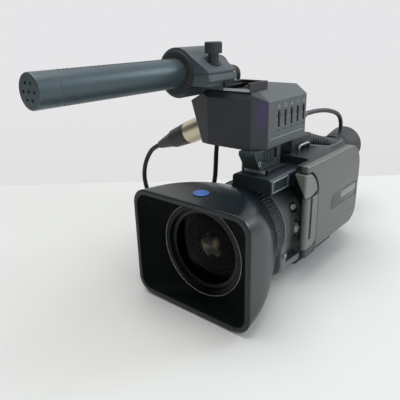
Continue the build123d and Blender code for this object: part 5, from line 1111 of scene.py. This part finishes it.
# ---------------------------------------------------------------- microphone tube
class CAMCORDER_OT_microphone(bpy.types.Operator):
    """Add the microphone's tube with its two rows of sound slots"""
    bl_idname = "camcorder.microphone"
    bl_label = "Microphone tube"

    def execute(self, context):
        low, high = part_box("mic_tube")
        centre_x, centre_z = (low.x + high.x) / 2 / MM, (low.z + high.z) / 2 / MM
        radius = (high.x - low.x) / 2 / MM
        front, rear = low.y / MM, high.y / MM
        pitch = context.scene.camcorder_sizes.slot_pitch / MM
        # a slot's width along the tube, its depth, and its reach to each side of the row's middle
        width, depth, half_angle = 1.3, 1.1, 25.0
        # the tube sits turned a few degrees in its holder, and its ends are eased
        row_turn, eased = 8.0, 0.3
        holder_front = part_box("rubber_ring")[0].y / MM
        rows = (90.0, 270.0)

        def off_row(angle):
            """How far an angle is from the middle of the nearer row of slots, in degrees."""
            return min(abs(angle - middle) for middle in rows)

        # angles: a close pair at each end of a slot gives it an upright wall
        angles = []
        for middle in rows:
            turns = [step * 5.0 for step in range(-18, 18)]
            angles += [middle + turn for turn in turns if abs(abs(turn) - half_angle) > 2]
            angles += [middle + side * (half_angle + d) for side in (-1, 1) for d in (-0.3, 0.3)]
        angles = sorted(set(round(a % 360, 3) for a in angles))
        stations = [(front, False), (front + 0.4, False)]
        y = front + 4.0
        while y + width < holder_front - 2.0:
            stations += [(y - 0.04, False), (y, True), (y + width, True), (y + width + 0.04, False)]
            y += pitch
        stations += [(holder_front + 1, False), (rear - 0.4, False), (rear, False)]
        points, kinds = [], []
        around = len(angles)
        for y, slotted in stations:
            for angle in angles:
                turn = radians(angle + row_turn)
                r = radius - depth if slotted and off_row(angle) < half_angle else radius
                if y in (front, rear):
                    r -= eased
                points.append(((centre_x + r * cos(turn)) * MM, y * MM, (centre_z + r * sin(turn)) * MM))
        faces = []
        for i in range(len(stations) - 1):
            for k in range(around):
                m = (k + 1) % around
                faces.append((i * around + k, i * around + m, (i + 1) * around + m, (i + 1) * around + k))
                deep = stations[i][1] and stations[i + 1][1]
                inside = max(off_row(angles[k]), off_row(angles[m])) < half_angle
                # the slot floors take the near black finish: painted shade for the hollow
                kinds.append(1 if deep and inside else 0)
        last = (len(stations) - 1) * around
        faces += [tuple(range(around)), tuple(range(last, last + around))]
        kinds += [0, 0]
        put("mic_slotted_tube", mesh_of("mic_slotted_tube", points, faces, kinds), BODY,
            ("enamel", "slot"), ("mic_tube",), 35)
        return {"FINISHED"}


# ---------------------------------------------------------------- hand strap
def band(name, path, normals, width, thickness, middle_z):
    """A flat band standing on edge along a plan path, with rounded edges and its own UV map, in mm."""
    section = []
    half_w, half_t, bend = width / 2, thickness / 2, thickness / 2 * 0.8
    for corner_w, corner_t, start in ((half_w - bend, half_t - bend, 0),
                                      (-half_w + bend, half_t - bend, 90),
                                      (-half_w + bend, -half_t + bend, 180),
                                      (half_w - bend, -half_t + bend, 270)):
        for step in range(4):
            angle = radians(start + 30 * step)
            section.append((corner_w + bend * cos(angle), corner_t + bend * sin(angle)))
    points = []
    for (x, y), (nx, ny) in zip(path, normals):
        for across, out in section:
            points.append(((x + nx * out) * MM, (y + ny * out) * MM, (middle_z + across) * MM))
    around = len(section)
    faces, _ = ring_faces(len(path), around, False)
    last = (len(path) - 1) * around
    faces += [tuple(range(around)), tuple(range(last, last + around))]
    mesh = mesh_of(name, points, faces)
    lengths = [0.0]
    for a, b in zip(path, path[1:]):
        lengths.append(lengths[-1] + hypot(b[0] - a[0], b[1] - a[1]))
    uv = mesh.uv_layers.new(name="weave")
    for face in mesh.polygons:
        for loop in face.loop_indices:
            vertex = mesh.loops[loop].vertex_index
            uv.data[loop].uv = (lengths[vertex // around] * MM, points[vertex][2])
    return mesh


class CAMCORDER_OT_strap(bpy.types.Operator):
    """Add the hand strap: webbing folded round its bars, a soft pad and rows of stitches"""
    bl_idname = "camcorder.strap"
    bl_label = "Hand strap"

    def execute(self, context):
        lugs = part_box("strap_lugs")
        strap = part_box("hand_strap")
        # each bar's middle lies this far inside the lugs, and the webbing folds round it at this radius
        inset, fold = 1.3, 2.9
        bar_x = lugs[0].x / MM + inset
        bar_ys = (lugs[0].y / MM + inset, lugs[1].y / MM - inset)
        middle_z = (strap[0].z + strap[1].z) / 2 / MM
        width = (strap[1].z - strap[0].z) / MM
        mid_y = sum(bar_ys) / 2
        half = (bar_ys[1] - bar_ys[0]) / 2
        start_x = bar_x - fold
        # how far the strap bows out, and the radius and middle of its arc
        sag = start_x - (strap[0].x / MM + 1.3)
        arc = (half ** 2 + sag ** 2) / (2 * sag)
        centre_x = start_x - sag + arc
        limit = atan2(half, arc - sag)
        steps = 56

        def along(offset, reach):
            """Points and outward normals of the bowed part at an offset outwards."""
            angles = [-limit * reach + 2 * limit * reach * k / steps for k in range(steps + 1)]
            path = [(centre_x - (arc + offset) * cos(a), mid_y + (arc + offset) * sin(a)) for a in angles]
            return path, [(-cos(a), sin(a)) for a in angles]

        def loop_round(bar_y, side):
            """The fold of the webbing round one bar."""
            path, normals = [], []
            for k in range(25):
                a = radians(180 + side * (-60 + 300 * k / 24))
                path.append((bar_x + fold * cos(a), bar_y + fold * sin(a)))
                normals.append((cos(a), sin(a)))
            return path, normals

        webs = []
        path, normals = along(0.45, 0.97)
        webs.append(band("web", path, normals, width, 1.3, middle_z))
        for bar_y, side in ((bar_ys[0], 1), (bar_ys[1], -1)):
            path, normals = loop_round(bar_y, side)
            webs.append(band("web", path, normals, width - 0.4, 1.2, middle_z))
        put("strap_webbing", joined("strap_webbing", webs), "cassette_lid", ("strap",),
            ("hand_strap",), 40)
        path, normals = along(-0.85, 0.74)
        pad = put("strap_pad", band("strap_pad", path, normals, width - 1.0, 1.2, middle_z), "cassette_lid",
                  ("pad",), (), 40)

        # stitches: short threads set along the two edges of the webbing
        work = bmesh.new()
        bmesh.ops.create_uvsphere(work, u_segments=8, v_segments=5, radius=1.0)
        bmesh.ops.scale(work, vec=(0.28 * MM, 1.0 * MM, 0.28 * MM), verts=work.verts)
        stitch = bpy.data.meshes.new("stitch")
        work.to_mesh(stitch)
        work.free()
        curve = bpy.data.curves.new("stitch_rows", "CURVE")
        curve.dimensions = "3D"
        for offset_z in (-width / 2 + 2.4, width / 2 - 2.4):
            path, _ = along(1.15, 0.72)
            spline = curve.splines.new("POLY")
            spline.points.add(len(path) - 1)
            for point, (x, y) in zip(spline.points, path):
                point.co = (x * MM, y * MM, (middle_z + offset_z) * MM, 1)
        model = bpy.data.objects.new("stitch_model", stitch)
        bpy.context.scene.collection.objects.link(model)
        tree, begin, end = node_tree("Stitch rows", [("Stitch", "NodeSocketObject", None),
                                                     ("Pitch", "NodeSocketFloat", 0.0032)])
        rows = add(tree, "GeometryNodeResampleCurve", {"mode": "LENGTH"},
                   {"Curve": begin.outputs["Geometry"], "Length": begin.outputs["Pitch"]})
        tangent = add(tree, "GeometryNodeInputTangent")
        aim = add(tree, "FunctionNodeAlignRotationToVector", {"axis": "Y"}, {"Vector": tangent.outputs[0]})
        end_with_copies(tree, end, rows.outputs[0], begin.outputs["Stitch"], aim, (1, 1, 1), "thread")
        mesh = grown("strap_stitches", curve, tree,
                     {"Stitch": model, "Pitch": context.scene.camcorder_sizes.stitch_pitch})
        mesh.materials.clear()
        bpy.data.objects.remove(model)
        put("strap_stitches", mesh, "cassette_lid", ("thread",))
        return {"FINISHED"}


# ---------------------------------------------------------------- eyecup
class CAMCORDER_OT_eyecup(bpy.types.Operator):
    """Add the rubber eyecup with its folds"""
    bl_idname = "camcorder.eyecup"
    bl_label = "Eyecup"

    def execute(self, context):
        low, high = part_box("eyecup")
        centre = ((low.x + high.x) / 2 / MM, (low.z + high.z) / 2 / MM)
        front, rear = low.y / MM, high.y / MM
        wide = (high.x - low.x) / 2 / MM
        outer = [(13.5, front), (15.2, front + 0.1), (15.35, front + 0.8)]
        for fold in range(3):
            y = front + 2.0 + fold * 2.6
            outer += [(15.3, y), (14.7, y + 0.7), (14.7, y + 1.2), (15.3, y + 1.9)]
        start = outer[-1]
        for k in range(1, 15):
            share = k / 14
            y = start[1] + (rear - 1.6 - start[1]) * share
            outer.append((start[0] + (wide - 0.15 - start[0]) * (share ** 0.75), y))
        outer += [(wide, rear - 0.9), (wide - 0.15, rear - 0.3),
                  (wide - 0.7, rear - 0.02), (wide - 1.5, rear - 0.5)]
        inner = []
        for k in range(13):
            share = k / 12
            y = rear - 1.6 - (rear - 1.6 - (front + 11.0)) * share
            inner.append((wide - 2.3 - (wide - 2.3 - 12.9) * (share ** 1.3), y))
        inner += [(10.5, front + 6.2), (13.3, front + 5.9), (13.35, front + 0.4)]
        put("eyecup_rubber", turned("eyecup_rubber", outer + inner, centre), "viewfinder",
            ("rubber",), ("eyecup",), 50)
        return {"FINISHED"}


# ---------------------------------------------------------------- screws
class CAMCORDER_OT_screws(bpy.types.Operator):
    """Add the small cross-head screws of the body and the adaptor"""
    bl_idname = "camcorder.screws"
    bl_label = "Screws"

    def execute(self, context):
        radius = context.scene.camcorder_sizes.screw_radius / MM
        # the node that each screw sits on, a place outside it, and the way in
        aims = [("body_shell", (x, y, -20), (0, 0, 1)) for x, y in ((-20, 63), (18, 63))]
        aims += [("adaptor_rear", (x, 60, z), (0, -1, 0))
                 for x, z in ((-34, 117), (-30, 141), (3, 142), (3, 115))]
        aims += [("body_shell", (x, 110, z), (0, -1, 0)) for x, z in ((-40, 67), (31, 70), (-21, 9))]
        sunk = 0.15
        places = [seated(node, start, way) + Vector(way) * sunk for node, start, way in aims]
        facings = [-Vector(way) for _, _, way in aims]
        mesh = copies_on_points("case_screws", places, facings, screw_head(radius, 0.8), "steel")
        put("case_screws", mesh, BODY, ("steel",))
        return {"FINISHED"}


# ---------------------------------------------------------------- add-on
class CAMCORDER_PT_panel(bpy.types.Panel):
    """The camcorder's pieces and settings"""
    bl_idname = "CAMCORDER_PT_panel"
    bl_label = "Camcorder"
    bl_space_type = "VIEW_3D"
    bl_region_type = "UI"
    bl_category = "Camcorder"

    def draw(self, context):
        for group in (context.scene.camcorder_tones, context.scene.camcorder_sizes):
            for name in group.__annotations__:
                self.layout.prop(group, name)
        for step in STEPS:
            self.layout.operator(step.bl_idname)


STEPS = (CAMCORDER_OT_finishes, CAMCORDER_OT_stage, CAMCORDER_OT_cords, CAMCORDER_OT_shells,
         CAMCORDER_OT_hood, CAMCORDER_OT_optics, CAMCORDER_OT_trim, CAMCORDER_OT_adaptor,
         CAMCORDER_OT_microphone, CAMCORDER_OT_strap, CAMCORDER_OT_eyecup, CAMCORDER_OT_screws)
CLASSES = (CamcorderTones, CamcorderSizes, *STEPS, CAMCORDER_PT_panel)


def register():
    """Register the classes and the settings."""
    for item in CLASSES:
        bpy.utils.register_class(item)
    bpy.types.Scene.camcorder_tones = bpy.props.PointerProperty(type=CamcorderTones)
    bpy.types.Scene.camcorder_sizes = bpy.props.PointerProperty(type=CamcorderSizes)


def unregister():
    """Remove the settings and the classes."""
    del bpy.types.Scene.camcorder_sizes
    del bpy.types.Scene.camcorder_tones
    for item in reversed(CLASSES):
        bpy.utils.unregister_class(item)


def main():
    """Build the whole scene."""
    register()
    for step in STEPS:
        group, name = step.bl_idname.split(".")
        getattr(getattr(bpy.ops, group), name)()


if __name__ == "__main__":
    main()
